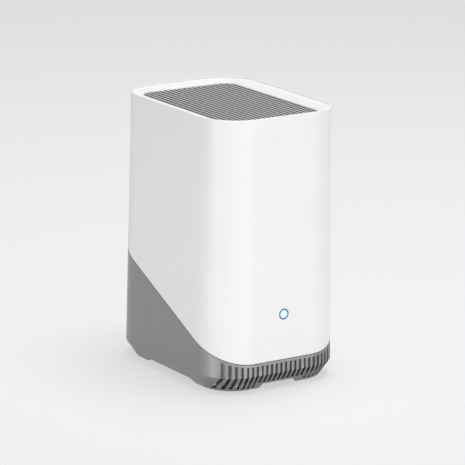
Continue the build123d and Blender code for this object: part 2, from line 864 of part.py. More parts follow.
# Shields over the two radios: thin cans, open to the board
shield_height = 3.0
shield_sheet = 0.4
shield_share = 0.222
shield_z = board_low + shield_share * board_rise
near_shield_y = 2.0
near_shield = 18.0
far_shield_y = -28.0
far_shield_length = 24.0
far_shield_width = 20.0
shield_places = [
    (far_shield_y, far_shield_length, far_shield_width),
    (near_shield_y, near_shield, near_shield),
]
with BuildPart() as rf_shields:
    for y, size_y, size_z in shield_places:
        block(
            (board_x - shield_height, board_x),
            (y - size_y / 2, y + size_y / 2),
            (shield_z - size_z / 2, shield_z + size_z / 2),
        )
        block(
            (board_x - shield_height + shield_sheet, board_x),
            (y - size_y / 2 + shield_sheet, y + size_y / 2 - shield_sheet),
            (shield_z - size_z / 2 + shield_sheet, shield_z + size_z / 2 - shield_sheet),
            Mode.SUBTRACT,
        )
rf_shields.part.label = "rf_shields"
export_step(rf_shields.part, "parts/rf_shields.step")

radio_chip = 8.0
radio_chip_height = 1.2
with BuildPart() as radio_chips:
    for y, size_y, size_z in shield_places:
        block(
            (board_x - radio_chip_height, board_x),
            (y - radio_chip / 2, y + radio_chip / 2),
            (shield_z - radio_chip / 2, shield_z + radio_chip / 2),
        )
radio_chips.part.label = "radio_chips"
export_step(radio_chips.part, "parts/radio_chips.step")

# Sockets along the back edge of the board, seen from outside through one panel
dc_below = 22.5
usb_below = 8.5
jack_above = 9.0
button_above = 22.5
dc_z = port_middle - dc_below
usb_z = port_middle - usb_below
jack_z = port_middle + jack_above
button_z = port_middle + button_above
dc_width = 11.0
dc_height = 9.0
dc_length = 12.25
dc_nose = 4.0
dc_bore = 3.0
dc_bore_depth = 10.0
dc_pin_radius = 1.0
usb_width = 13.2
usb_height = 5.8
usb_length = 14.0
usb_wall = 0.35
usb_tongue_width = 11.1
usb_tongue_height = 1.84
usb_tongue_length = 8.4
jack_cavity = 11.8
jack_cavity_height = 6.8
jack_cavity_depth = 16.0
jack_latch = 6.0
jack_latch_height = 2.4
jack_floor = 2.2
button_gap = 0.3
button_proud = 0.6
button_flange = 4.3
button_flange_thickness = 1.0
stem_radius = 1.5
switch_size = 8.0
switch_length = 6.0
switch_drop = 10.25
switch_face = port_face - switch_drop
plunger_radius = 1.6
plunger_proud = 1.5
plunger_depth = 1.5
plunger_spare = 0.5
dc_x = board_x - dc_width / 2
usb_x = board_x - usb_height / 2
jack_x = board_x - jack_height / 2
button_x = board_x - switch_size / 2
stem_low = switch_face + plunger_proud
plunger_room = button_travel + plunger_spare


def rear_plane(x, y, z):
    """Plane square to Y that looks out of the back."""
    return Plane(origin=(x, y, z), x_dir=(1, 0, 0), z_dir=(0, 1, 0))


def socket_block(x, z, size_x, size_z, low_y, high_y, mode=Mode.ADD):
    """Block round a socket's axis between two depths."""
    block((x - size_x / 2, x + size_x / 2), (low_y, high_y), (z - size_z / 2, z + size_z / 2), mode)


with BuildPart() as port_panel:
    socket_block(0, port_middle, port_width, port_height, panel_back, port_face)
    bar(rear_plane(dc_x, panel_back, dc_z), dc_nose + slip, panel_thickness, Mode.SUBTRACT)
    for x, z, size_x, size_z in [
        (usb_x, usb_z, usb_height, usb_width),
        (jack_x, jack_z, jack_height, jack_width),
    ]:
        socket_block(x, z, size_x + 2 * slip, size_z + 2 * slip, panel_back, port_face, Mode.SUBTRACT)
    bar(
        rear_plane(button_x, panel_back, button_z),
        button_radius + button_gap, panel_thickness, Mode.SUBTRACT,
    )
port_panel.part.label = "port_panel"
export_step(port_panel.part, "parts/port_panel.step")

dc_back = panel_back - slip - dc_length
with BuildPart() as dc_jack:
    socket_block(dc_x, dc_z, dc_width, dc_height, dc_back, panel_back - slip)
    bar(rear_plane(dc_x, panel_back - slip, dc_z), dc_nose, panel_thickness + slip)
    bar(rear_plane(dc_x, port_face - dc_bore_depth, dc_z), dc_bore, dc_bore_depth, Mode.SUBTRACT)
dc_jack.part.label = "dc_jack"
export_step(dc_jack.part, "parts/dc_jack.step")

with BuildPart() as dc_pin:
    bar(rear_plane(dc_x, port_face - dc_bore_depth, dc_z), dc_pin_radius, dc_bore_depth - dc_pin_radius)
    chamfer(edges().group_by(Axis.Y)[-1], dc_pin_radius / 2)
dc_pin.part.label = "dc_pin"
export_step(dc_pin.part, "parts/dc_pin.step")

usb_back = port_face - usb_length
with BuildPart() as usb_port:
    socket_block(usb_x, usb_z, usb_height, usb_width, usb_back, port_face)
    socket_block(
        usb_x, usb_z, usb_height - 2 * usb_wall, usb_width - 2 * usb_wall, usb_back, port_face, Mode.SUBTRACT,
    )
usb_port.part.label = "usb_port"
export_step(usb_port.part, "parts/usb_port.step")

usb_tongue_end = port_face - usb_tongue_height / 2
with BuildPart() as usb_tongue:
    socket_block(
        usb_x, usb_z, usb_height - 2 * usb_wall, usb_width - 2 * usb_wall,
        usb_back, usb_tongue_end - usb_tongue_length,
    )
    socket_block(
        usb_x + usb_tongue_height / 2, usb_z, usb_tongue_height, usb_tongue_width,
        usb_tongue_end - usb_tongue_length, usb_tongue_end,
    )
usb_tongue.part.label = "usb_tongue"
export_step(usb_tongue.part, "parts/usb_tongue.step")

jack_back = port_face - jack_length
jack_cavity_x = jack_x + jack_height / 2 - jack_floor - jack_cavity_height / 2
jack_latch_x = jack_cavity_x - (jack_cavity_height + jack_latch_height) / 2
with BuildPart() as ethernet_jack:
    socket_block(jack_x, jack_z, jack_height, jack_width, jack_back, port_face)
    socket_block(
        jack_cavity_x, jack_z, jack_cavity_height, jack_cavity,
        port_face - jack_cavity_depth, port_face, Mode.SUBTRACT,
    )
    socket_block(
        jack_latch_x, jack_z, jack_latch_height, jack_latch,
        port_face - jack_cavity_depth, port_face, Mode.SUBTRACT,
    )
ethernet_jack.part.label = "ethernet_jack"
export_step(ethernet_jack.part, "parts/ethernet_jack.step")

# Eight sprung wires that lie along the board side of the socket's cavity
jack_wires = 8
jack_wire_pitch = 1.02
jack_wire = 0.4
jack_wire_length = 9.0
jack_wire_lift = 1.2
jack_wire_x = jack_cavity_x + jack_cavity_height / 2
with BuildPart() as jack_contacts:
    for i in range(jack_wires):
        wire_z = jack_z + (i - (jack_wires - 1) / 2) * jack_wire_pitch
        with BuildSketch(Plane.XY.offset(wire_z - jack_wire / 2)) as wire_profile:
            with BuildLine():
                wire_end = port_face - jack_cavity_depth
                Polyline(
                    (jack_wire_x, wire_end),
                    (jack_wire_x, wire_end + jack_wire_length),
                    (jack_wire_x - jack_wire, wire_end + jack_wire_length),
                    (jack_wire_x - jack_wire_lift, wire_end),
                    close=True,
                )
            make_face()
        extrude(wire_profile.sketch, amount=jack_wire)
jack_contacts.part.label = "jack_contacts"
export_step(jack_contacts.part, "parts/jack_contacts.step")

flange_high = panel_back - button_gap
with BuildPart() as sync_button:
    bar(rear_plane(button_x, flange_high, button_z), button_radius, port_face + button_proud - flange_high)
    chamfer(edges().group_by(Axis.Y)[-1], button_proud / 2)
    bar(
        rear_plane(button_x, flange_high - button_flange_thickness, button_z),
        button_flange, button_flange_thickness,
    )
    bar(rear_plane(button_x, stem_low, button_z), stem_radius, flange_high - stem_low)
sync_button.part.label = "sync_button"
export_step(sync_button.part, "parts/sync_button.step")

with BuildPart() as switch_plunger:
    bar(
        rear_plane(button_x, switch_face - plunger_depth, button_z),
        plunger_radius, plunger_depth + plunger_proud,
    )
switch_plunger.part.label = "switch_plunger"
export_step(switch_plunger.part, "parts/switch_plunger.step")

with BuildPart() as switch_housing:
    socket_block(button_x, button_z, switch_size, switch_size, switch_face - switch_length, switch_face)
    bar(
        rear_plane(button_x, switch_face - plunger_depth - plunger_room, button_z),
        plunger_radius + shaft_clearance, plunger_depth + plunger_room, Mode.SUBTRACT,
    )
switch_housing.part.label = "switch_housing"
export_step(switch_housing.part, "parts/switch_housing.step")

# Carrier that hangs from the roof bosses and holds the fan, the siren and the aerials
carrier_gap = 0.8
carrier_room = depth - 2 * carrier_end
fan_size = carrier_room / 2 + fan_surplus
speaker_size = carrier_room - fan_size - fan_spacing
fan_hole_inset = 5.0
fan_rim = 1.5
fan_radius = 3.0
fan_shank = 1.5
fan_head = 2.6
fan_head_height = 1.6
fan_bite = 5.0
fan_boss_radius = 3.0
basket_inset = 4.5
basket_gap = 0.5
speaker_hole_inset = 3.0
fan_screw_reach = fan_size / 2 - fan_hole_inset
fan_bore = fan_size / 2 - fan_rim
basket_radius = speaker_size / 2 - basket_inset
speaker_hole = basket_radius + basket_gap
speaker_screw_reach = speaker_size / 2 - speaker_hole_inset
fan_y = (speaker_size + fan_spacing) / 2
speaker_y = -(fan_size + fan_spacing) / 2
fan_holes = [(x, fan_y + y) for x, y in both_signs(fan_screw_reach, fan_screw_reach)]
speaker_holes = [(x, speaker_y + y) for x, y in both_signs(speaker_screw_reach, speaker_screw_reach)]
aerial_thickness = 0.8
aerial_length = 30.0
aerial_height = 16.0
aerial_gap = 6.0
aerial_rib = 1.2
aerial_rib_rise = 3.0
aerial_shift = 15.0
aerial_x = fan_size / 2 + aerial_gap
aerial_y = fan_y - aerial_shift

with BuildPart() as upper_carrier:
    with BuildSketch(Plane.XY.offset(carrier_z)):
        RectangleRounded(*shell_outline(carrier_z, wall + carrier_gap))
    extrude(amount=carrier_thickness)
    upright(0, fan_y, carrier_z, carrier_top, fan_bore - shaft_clearance, Mode.SUBTRACT)
    upright(0, speaker_y, carrier_z, carrier_top, speaker_hole, Mode.SUBTRACT)
    for x, y in roof_bosses:
        upright(x, y, carrier_z, carrier_top, carrier_shank + slip, Mode.SUBTRACT)
    for x, y in fan_holes:
        upright(x, y, carrier_z - fan_bite, carrier_z, fan_boss_radius)
        upright(x, y, carrier_z - fan_bite, carrier_top, fan_shank + shaft_clearance, Mode.SUBTRACT)
    for x, y in speaker_holes:
        upright(x, y, carrier_z, carrier_top, carrier_shank + slip, Mode.SUBTRACT)
    for x in (-aerial_x, aerial_x):
        for side in (-1, 1):
            rib_x = x + side * (aerial_thickness + aerial_rib) / 2
            block(
                (rib_x - aerial_rib / 2, rib_x + aerial_rib / 2),
                (aerial_y - aerial_length / 2, aerial_y + aerial_length / 2),
                (carrier_top, carrier_top + aerial_rib_rise),
            )
upper_carrier.part.label = "upper_carrier"
export_step(upper_carrier.part, "parts/upper_carrier.step")

carrier_head = 2.4
carrier_head_height = 1.4
with BuildPart() as carrier_screws:
    for x, y in roof_bosses:
        bearing = Plane(origin=(x, y, carrier_z), x_dir=(1, 0, 0), z_dir=(0, 0, -1))
        screw(
            bearing, carrier_head, carrier_head_height, carrier_shank,
            carrier_thickness + carrier_bite - slip,
        )
carrier_screws.part.label = "carrier_screws"
export_step(carrier_screws.part, "parts/carrier_screws.step")

with BuildPart() as antenna_boards:
    for x in (-aerial_x, aerial_x):
        block(
            (x - aerial_thickness / 2, x + aerial_thickness / 2),
            (aerial_y - aerial_length / 2, aerial_y + aerial_length / 2),
            (carrier_top, carrier_top + aerial_height),
        )
antenna_boards.part.label = "antenna_boards"
export_step(antenna_boards.part, "parts/antenna_boards.step")

# Fan: a square housing whose hub hangs from four struts on the outlet side
hub_radius = 13.5
hub_plate = 2.0
hub_gap = 1.0
strut_width = 3.0
struts = 4
tube_radius = 3.0
shaft_radius = 1.5
rotor_wall = 1.8
rotor_floor = 1.2
rotor_lift = 1.0
fan_top = carrier_top + fan_thickness
hub_low = fan_top - hub_plate
rotor_low = carrier_top + rotor_lift
rotor_high = hub_low - hub_gap
tube_low = rotor_low + rotor_floor + hub_gap
with BuildPart() as fan_housing:
    with BuildSketch(Plane.XY.offset(carrier_top)):
        with Locations((0, fan_y)):
            RectangleRounded(fan_size, fan_size, fan_radius)
            Circle(fan_bore, mode=Mode.SUBTRACT)
    extrude(amount=fan_thickness)
    upright(0, fan_y, hub_low, fan_top, hub_radius)
    with BuildSketch(Plane.XY.offset(hub_low)) as strut_bars:
        with Locations((0, fan_y)):
            with PolarLocations((hub_radius + fan_bore) / 2, struts, start_angle=diagonal):
                Rectangle(fan_bore - hub_radius + strut_width, strut_width)
    extrude(strut_bars.sketch, amount=hub_plate)
    upright(0, fan_y, tube_low, hub_low, tube_radius)
    upright(0, fan_y, tube_low, hub_low + hub_plate / 2, shaft_radius + shaft_clearance, Mode.SUBTRACT)
    for x, y in fan_holes:
        upright(x, y, carrier_top, fan_top, fan_shank + slip, Mode.SUBTRACT)
fan_housing.part.label = "fan_housing"
export_step(fan_housing.part, "parts/fan_housing.step")

blade_root = hub_radius - rotor_wall + shaft_clearance
blade_gap = 1.3
blade_tip = fan_bore - blade_gap
blade_thickness = 1.2
blade_root_chord = 11.0
blade_tip_chord = 12.0
blade_root_angle = 48.0
blade_tip_angle = 32.0
blade_z = (rotor_low + rotor_high) / 2


def blade_plane(reach, angle, turn):
    """Plane across a blade at a distance from the fan's axis, tipped by its pitch angle."""
    outward = Vector(cos(radians(turn)), sin(radians(turn)), 0)
    sideways = Vector(-sin(radians(turn)), cos(radians(turn)), 0)
    chord = sideways * cos(radians(angle)) + Vector(0, 0, 1) * sin(radians(angle))
    return Plane(origin=Vector(0, fan_y, blade_z) + outward * reach, x_dir=chord, z_dir=outward)


with BuildPart() as fan_rotor:
    upright(0, fan_y, rotor_low, rotor_high, hub_radius)
    upright(0, fan_y, rotor_low + rotor_floor, rotor_high, hub_radius - rotor_wall, Mode.SUBTRACT)
    upright(0, fan_y, rotor_low + rotor_floor, hub_low, shaft_radius)
    for i in range(fan_blades):
        turn = i * full_turn / fan_blades
        with BuildSketch(blade_plane(blade_root, blade_root_angle, turn)) as root_section:
            Rectangle(blade_root_chord, blade_thickness)
        with BuildSketch(blade_plane(blade_tip, blade_tip_angle, turn)) as tip_section:
            Rectangle(blade_tip_chord, blade_thickness)
        loft([root_section.sketch.face(), tip_section.sketch.face()])
fan_rotor.part.label = "fan_rotor"
export_step(fan_rotor.part, "parts/fan_rotor.step")

stator_radius = 10.0
with BuildPart() as fan_stator:
    upright(0, fan_y, tube_low + hub_gap, hub_low - hub_gap, stator_radius)
    upright(0, fan_y, tube_low + hub_gap, hub_low - hub_gap, tube_radius + shaft_clearance, Mode.SUBTRACT)
    with BuildSketch(Plane.XY.offset(tube_low + hub_gap)) as stator_slots:
        with Locations((0, fan_y)):
            with PolarLocations(stator_radius, struts, start_angle=0):
                Rectangle(stator_radius, strut_width)
    extrude(stator_slots.sketch, amount=hub_low - tube_low - 2 * hub_gap, mode=Mode.SUBTRACT)
fan_stator.part.label = "fan_stator"
export_step(fan_stator.part, "parts/fan_stator.step")

with BuildPart() as fan_screws:
    for x, y in fan_holes:
        screw(
            Plane((x, y, fan_top)), fan_head, fan_head_height, fan_shank,
            fan_thickness + carrier_thickness + fan_bite / 2,
        )
fan_screws.part.label = "fan_screws"
export_step(fan_screws.part, "parts/fan_screws.step")

# Siren speaker: a flanged basket with its magnet, its cone, and the closed chamber below
speaker_flange = 1.5
basket_wall = 1.2
basket_share = 0.5
magnet_radius = 15.0
magnet_share = 0.33
cone_inner = 8.0
cone_thickness = 0.6
cone_rise = 2.4
cone_neck = 1.5
surround_width = 2.4
chamber_depth = carrier_z - chamber_low
basket_low = carrier_top - basket_share * chamber_depth
magnet_low = basket_low - magnet_share * chamber_depth
with BuildPart() as speaker_frame:
    with BuildSketch(Plane.XY.offset(carrier_top)):
        with Locations((0, speaker_y)):
            RectangleRounded(speaker_size, speaker_size, fan_radius)
            Circle(basket_radius - basket_wall, mode=Mode.SUBTRACT)
    extrude(amount=speaker_flange)
    with BuildSketch(Plane.XZ.offset(-speaker_y)) as basket_profile:
        with BuildLine():
            Polyline(
                (basket_radius, carrier_top),
                (basket_radius, carrier_top - basket_wall),
                (magnet_radius, basket_low),
                (cone_inner, basket_low),
                (cone_inner, basket_low + basket_wall),
                (magnet_radius - basket_wall, basket_low + basket_wall),
                (basket_radius - basket_wall, carrier_top),
                close=True,
            )
        make_face()
    revolve(basket_profile.sketch, axis=Axis((0, speaker_y, 0), (0, 0, 1)))
    for x, y in speaker_holes:
        upright(x, y, carrier_top, carrier_top + speaker_flange, carrier_shank + slip, Mode.SUBTRACT)
speaker_frame.part.label = "speaker_frame"
export_step(speaker_frame.part, "parts/speaker_frame.step")

with BuildPart() as speaker_magnet:
    upright(0, speaker_y, magnet_low, basket_low, magnet_radius)
    chamfer(edges().group_by(Axis.Z)[0], cone_thickness)
speaker_magnet.part.label = "speaker_magnet"
export_step(speaker_magnet.part, "parts/speaker_magnet.step")

cone_top = carrier_top + speaker_flange
cone_low = basket_low + cone_rise
with BuildPart() as speaker_cone:
    with BuildSketch(Plane.XZ.offset(-speaker_y)) as cone_profile:
        with BuildLine():
            Polyline(
                (0, cone_low + cone_inner / 2),
                (cone_inner, cone_low + cone_thickness),
                (basket_radius - surround_width, cone_top),
                (basket_radius, cone_top),
                (basket_radius, cone_top + cone_thickness),
                (basket_radius - surround_width - cone_thickness, cone_top + cone_thickness),
                (cone_inner, cone_low + cone_neck),
                (0, cone_low + cone_inner / 2 + cone_thickness),
                close=True,
            )
        make_face()
    revolve(cone_profile.sketch, axis=Axis((0, speaker_y, 0), (0, 0, 1)))
speaker_cone.part.label = "speaker_cone"
export_step(speaker_cone.part, "parts/speaker_cone.step")

chamber_inset = 1.0
chamber_radius = speaker_size / 2 - chamber_inset
chamber_wall = 1.5
chamber_flange = 2.0
with BuildPart() as speaker_chamber:
    with BuildSketch(Plane.XY.offset(carrier_z - chamber_flange)):
        with Locations((0, speaker_y)):
            RectangleRounded(speaker_size, speaker_size, fan_radius)
    extrude(amount=chamber_flange)
    upright(0, speaker_y, chamber_low, carrier_z, chamber_radius)
    upright(0, speaker_y, chamber_low + chamber_wall, carrier_z, chamber_radius - chamber_wall, Mode.SUBTRACT)
    for x, y in speaker_holes:
        upright(
            x, y, carrier_z - chamber_flange, carrier_z, carrier_shank + shaft_clearance, Mode.SUBTRACT,
        )
speaker_chamber.part.label = "speaker_chamber"
export_step(speaker_chamber.part, "parts/speaker_chamber.step")

with BuildPart() as speaker_screws:
    for x, y in speaker_holes:
        screw(
            Plane((x, y, cone_top)), door_head, door_head_height, carrier_shank,
            speaker_flange + carrier_thickness + chamber_flange,
        )
speaker_screws.part.label = "speaker_screws"
export_step(speaker_screws.part, "parts/speaker_screws.step")
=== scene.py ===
import json
import math

import bmesh
import bpy
from mathutils import Matrix, Vector


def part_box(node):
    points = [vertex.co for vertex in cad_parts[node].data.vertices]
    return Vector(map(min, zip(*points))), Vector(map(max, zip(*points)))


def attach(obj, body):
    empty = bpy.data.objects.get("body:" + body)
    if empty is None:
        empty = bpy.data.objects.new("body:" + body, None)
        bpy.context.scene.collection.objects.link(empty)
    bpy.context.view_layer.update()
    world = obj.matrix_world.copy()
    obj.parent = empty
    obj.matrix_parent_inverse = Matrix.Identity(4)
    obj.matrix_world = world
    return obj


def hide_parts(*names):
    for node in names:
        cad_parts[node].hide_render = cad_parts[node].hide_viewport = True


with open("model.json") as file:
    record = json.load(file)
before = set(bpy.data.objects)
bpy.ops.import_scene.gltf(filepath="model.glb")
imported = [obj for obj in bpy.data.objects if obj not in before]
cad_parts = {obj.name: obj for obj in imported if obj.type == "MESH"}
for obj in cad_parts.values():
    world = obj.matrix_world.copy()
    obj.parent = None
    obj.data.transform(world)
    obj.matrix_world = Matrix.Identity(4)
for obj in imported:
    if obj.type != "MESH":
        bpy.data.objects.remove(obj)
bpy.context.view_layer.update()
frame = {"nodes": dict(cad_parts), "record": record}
node_slots = {row["node"]: row["material_slot"] for row in frame["record"]["subparts"]}
MM = 0.001

# Sizes of the outer forms, in millimetres. The origin is the footprint's centre on the floor.
HEIGHT = 185.0
WIDTH = 104.0
DEPTH = 136.5
CORNER = 29.0
DRAFT = 0.016
WALL = 2.5

# Slanted seam between the white sleeve and the grey base
SEAM_FRONT = 19.75
SEAM_SLOPE = math.tan(math.radians(25.0))
SEAM_GAP = 0.4

# Roof: rounded rim, sloping dish and the sunk grille
RIM = 1.6
RIM_ROUND = 0.7
DISH = 3.6
GRILLE_WIDTH = 75.4
GRILLE_DEPTH = 112.9
GRILLE_CORNER = 10.5
GRILLE_BORDER = 1.2
GRILLE_PITCH = 3.7
GRILLE_SLOTS = 20
GRILLE_SLOT = 1.9
GRILLE_THICKNESS = 3.6
SLAT_ROUND = 0.25

# Ring light: its height, outer radius, width of the blue line, and the gaps round its two pieces
LIGHT_Z = 51.1
LIGHT_RADIUS = 3.75
LIGHT_LINE = 0.9
LIGHT_GAP = 0.06

# Steps round a corner of an outline, along its sides, and round a turned piece
ARC_STEPS = 24
SIDE_X_STEPS = 12
SIDE_Y_STEPS = 14
RING_STEPS = 64

# Angles in degrees past which an edge is shaded sharp
SMOOTH_ANGLE = 35.0
SLEEVE_SMOOTH_ANGLE = 40.0

# Distance in millimetres within which the corners of CAD facets are one
WELD = 0.003


def seam_z(y):
    """Height of the seam plane at depth y."""
    return SEAM_FRONT + (y + DEPTH / 2) * SEAM_SLOPE


def body_shrink(z):
    """How far the drafted body has drawn in at height z."""
    return DRAFT * z


def light_face_y():
    """Depth of the front wall at the ring light's height."""
    return -DEPTH / 2 + body_shrink(LIGHT_Z)


def quarter_turn(share):
    """Angle in radians at a share of a quarter circle."""
    return math.radians(90.0 * share)


def rounded_ring(half_x, half_y, radius):
    """Points round a rounded rectangle, anticlockwise from the right end of its front side."""
    points = []
    corners = [
        (half_x - radius, -half_y + radius, -90.0),
        (half_x - radius, half_y - radius, 0.0),
        (-half_x + radius, half_y - radius, 90.0),
        (-half_x + radius, -half_y + radius, 180.0),
    ]
    runs = [SIDE_X_STEPS, SIDE_Y_STEPS, SIDE_X_STEPS, SIDE_Y_STEPS]
    for i, (cx, cy, start) in enumerate(corners):
        for step in range(ARC_STEPS + 1):
            turn = math.radians(start + 90.0 * step / ARC_STEPS)
            points.append((cx + radius * math.cos(turn), cy + radius * math.sin(turn)))
        nx, ny, nstart = corners[(i + 1) % 4]
        turn = math.radians(nstart)
        ahead = (nx + radius * math.cos(turn), ny + radius * math.sin(turn))
        here = points[-1]
        count = runs[(i + 1) % 4]
        for step in range(1, count):
            share = step / count
            points.append(tuple(a + (b - a) * share for a, b in zip(here, ahead)))
    return points


def body_outline(shrink):
    """Outline of the body, moved in by shrink."""
    return rounded_ring(WIDTH / 2 - shrink, DEPTH / 2 - shrink, CORNER - shrink)


def grille_outline(inset):
    """Outline of the grille's opening, moved in by inset."""
    return rounded_ring(GRILLE_WIDTH / 2 - inset, GRILLE_DEPTH / 2 - inset, GRILLE_CORNER - inset)


def smooth_by_angle(mesh, degrees=SMOOTH_ANGLE):
    """Shades a mesh smooth, with sharp edges past an angle."""
    mesh.shade_smooth()
    mesh.set_sharp_from_angle(angle=math.radians(degrees))


def new_object(name, data, material=None):
    """Object that holds a mesh, lamp or camera, linked to the scene."""
    made = bpy.data.objects.new(name, data)
    bpy.context.collection.objects.link(made)
    if material:
        data.materials.append(material)
    return made


def to_mesh(name, bm, sharp=SMOOTH_ANGLE):
    """Mesh in metres from a bmesh in millimetres."""
    bmesh.ops.scale(bm, vec=(MM, MM, MM), verts=bm.verts)
    mesh = bpy.data.meshes.new(name)
    bm.to_mesh(mesh)
    bm.free()
    smooth_by_angle(mesh, sharp)
    return mesh


def bake_modifiers(made):
    """Turns what the modifiers make into the object's own mesh."""
    bpy.context.view_layer.update()
    evaluated = made.evaluated_get(bpy.context.evaluated_depsgraph_get())
    mesh = bpy.data.meshes.new_from_object(evaluated)
    made.modifiers.clear()
    made.data = mesh
    return mesh


def cut_with(made, tool, operation="DIFFERENCE"):
    """Cuts an object with a helper object, or keeps what they share. The helper goes."""
    cut = made.modifiers.new("cut", "BOOLEAN")
    cut.operation = operation
    cut.object = tool
    cut.solver = "EXACT"
    bake_modifiers(made)
    bpy.data.objects.remove(tool)


def dress(made, node, body="case"):
    """Lets a finished piece ride on a body in place of a CAD node."""
    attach(made, body)
    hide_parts(node)


def add_ring(bm, points, z):
    """Level row of vertices at height z."""
    return [bm.verts.new((x, y, z)) for x, y in points]


def bridge_rows(bm, rows):
    """Quads between rows of vertices of equal count, each row a closed ring."""
    for low, high in zip(rows, rows[1:]):
        count = len(low)
        for i in range(count):
            j = (i + 1) % count
            bm.faces.new((low[i], low[j], high[j], high[i]))


def make_prism(name, bm, first, last):
    """Closed helper object between two equal outlines."""
    bridge_rows(bm, [first, last])
    bm.faces.new(first)
    bm.faces.new(list(reversed(last)))
    bmesh.ops.recalc_face_normals(bm, faces=bm.faces)
    return new_object(name, to_mesh(name, bm))


# White sleeve: rows up its walls, and the small rounds at its lower lip and its rim
SLEEVE_ROWS = 24
LIP_ROUND = 0.15
LIP_STEPS = 3
ROUND_STEPS = 5
ROOF_SLOPE_STEPS = 4


def sleeve_ring(bm, z, inset):
    """Ring of the drafted body at height z, moved in by inset."""
    return add_ring(bm, body_outline(body_shrink(z) + inset), z)


def sleeve_skew_ring(bm, share, inset, lift):
    """Ring between the seam, at share 0, and the level top of the walls, at share 1."""
    top = HEIGHT - RIM_ROUND
    verts = []
    for index, (x, y) in enumerate(body_outline(body_shrink(SEAM_FRONT) + inset)):
        z = seam_z(y) + SEAM_GAP / 2 + lift
        z = z + (top - z) * share
        px, py = body_outline(body_shrink(z) + inset)[index]
        verts.append(bm.verts.new((px, py, z)))
    return verts


def roof_ring(bm, share):
    """Ring of the dish's slope, from the rim at share 0 to the grille's opening at share 1."""
    shrink = body_shrink(HEIGHT) + RIM
    half_x = (WIDTH / 2 - shrink) * (1 - share) + GRILLE_WIDTH / 2 * share
    half_y = (DEPTH / 2 - shrink) * (1 - share) + GRILLE_DEPTH / 2 * share
    radius = (CORNER - shrink) * (1 - share) + GRILLE_CORNER * share
    return add_ring(bm, rounded_ring(half_x, half_y, radius), HEIGHT - DISH * share)


def make_light_cutter():
    """Round bar through the front wall, a little wider than the ring light."""
    bm = bmesh.new()
    radius = LIGHT_RADIUS + LIGHT_GAP
    centre = Matrix.Translation((0.0, light_face_y(), LIGHT_Z))
    bmesh.ops.create_cone(
        bm, cap_ends=True, segments=RING_STEPS, radius1=radius, radius2=radius, depth=4 * WALL,
        matrix=centre @ Matrix.Rotation(quarter_turn(1.0), 4, "X"),
    )
    return new_object("light hole", to_mesh("light hole", bm))


def make_sleeve():
    """The white sleeve: lip, outer wall, rounded rim, sloping dish, opening edge and inner wall."""
    bm = bmesh.new()
    rows = []
    for step in range(LIP_STEPS):
        turn = quarter_turn(step / LIP_STEPS)
        inset = LIP_ROUND * (1 - math.sin(turn))
        rows.append(sleeve_skew_ring(bm, 0.0, inset, LIP_ROUND * (1 - math.cos(turn))))
    for step in range(1, SLEEVE_ROWS + 1):
        rows.append(sleeve_skew_ring(bm, step / SLEEVE_ROWS, 0.0, LIP_ROUND))
    for step in range(1, ROUND_STEPS + 1):
        turn = quarter_turn(step / ROUND_STEPS)
        z = HEIGHT - RIM_ROUND + RIM_ROUND * math.sin(turn)
        rows.append(sleeve_ring(bm, z, RIM_ROUND * (1 - math.cos(turn))))
    for step in range(1, ROUND_STEPS + 1):
        turn = quarter_turn(step / ROUND_STEPS)
        z = HEIGHT - RIM_ROUND + RIM_ROUND * math.cos(turn)
        rows.append(sleeve_ring(bm, z, RIM - RIM_ROUND * (1 - math.sin(turn))))
    slope_start = RIM_ROUND / DISH
    for step in range(1, ROOF_SLOPE_STEPS + 1):
        rows.append(roof_ring(bm, slope_start + (1 - slope_start) * step / ROOF_SLOPE_STEPS))
    rows.append([bm.verts.new((v.co.x, v.co.y, v.co.z - WALL)) for v in rows[-1]])
    rows.append(sleeve_ring(bm, HEIGHT - WALL - DISH, WALL))
    for step in range(SLEEVE_ROWS - 2, -1, -1):
        rows.append(sleeve_skew_ring(bm, step / SLEEVE_ROWS, WALL, 0.0))
    rows.append(rows[0])
    bridge_rows(bm, rows)
    bmesh.ops.recalc_face_normals(bm, faces=bm.faces)
    mesh = to_mesh("white sleeve", bm, SLEEVE_SMOOTH_ANGLE)
    sleeve = new_object("white_sleeve", mesh, MATERIALS["white_shell"])
    cut_with(sleeve, make_light_cutter())
    smooth_by_angle(sleeve.data, SLEEVE_SMOOTH_ANGLE)
    dress(sleeve, "outer_sleeve")


# Colours in linear light
SHELL_WHITE = (0.86, 0.86, 0.86)
SLAT_GREY = (0.42, 0.422, 0.426)
# Painted shade deep in the grille's slots, not a colour of the plastic
PAINTED_SLOT_SHADE = (0.035, 0.035, 0.036)
BASE_GREY = (0.275, 0.275, 0.278)
RING_BLUE = (0.055, 0.07, 0.30)
CAP_BLUE = (0.62, 0.80, 0.88)
CAP_MIDDLE = (0.70, 0.95, 0.90)
CAP_EDGE = (0.45, 0.75, 1.0)
BOARD_GREEN = (0.012, 0.09, 0.035)
TRACK_GREEN = (0.05, 0.22, 0.09)
BLACK = (0.0, 0.0, 0.0)
WHITE = (1.0, 1.0, 1.0)

# Glow of the ring and its cap, with their roughness and spread of tone
RING_GLOW = 0.35
CAP_GLOW = 0.3
LIGHT_ROUGH = 0.2
LIGHT_SPREAD = 0.02

# Depth in millimetres over which painted shade darkens the walls of the grille's slots
SLOT_SHADE_DEPTH = 0.7

# Noise of the shared effects: scales in waves to the metre, and octaves
GRAIN_SCALE = 2500.0
RUBBER_GRAIN_SCALE = 1200.0
PAPER_GRAIN_SCALE = 800.0
SPECK_SCALE = 900.0
CLOUD_SCALE = 35.0
SCRATCH_SCALE = 4000.0
METAL_CLOUD_SCALE = 120.0
FEW_OCTAVES = 2.0
MORE_OCTAVES = 3.0
NOISE_LOW = 0.3
NOISE_HIGH = 0.7

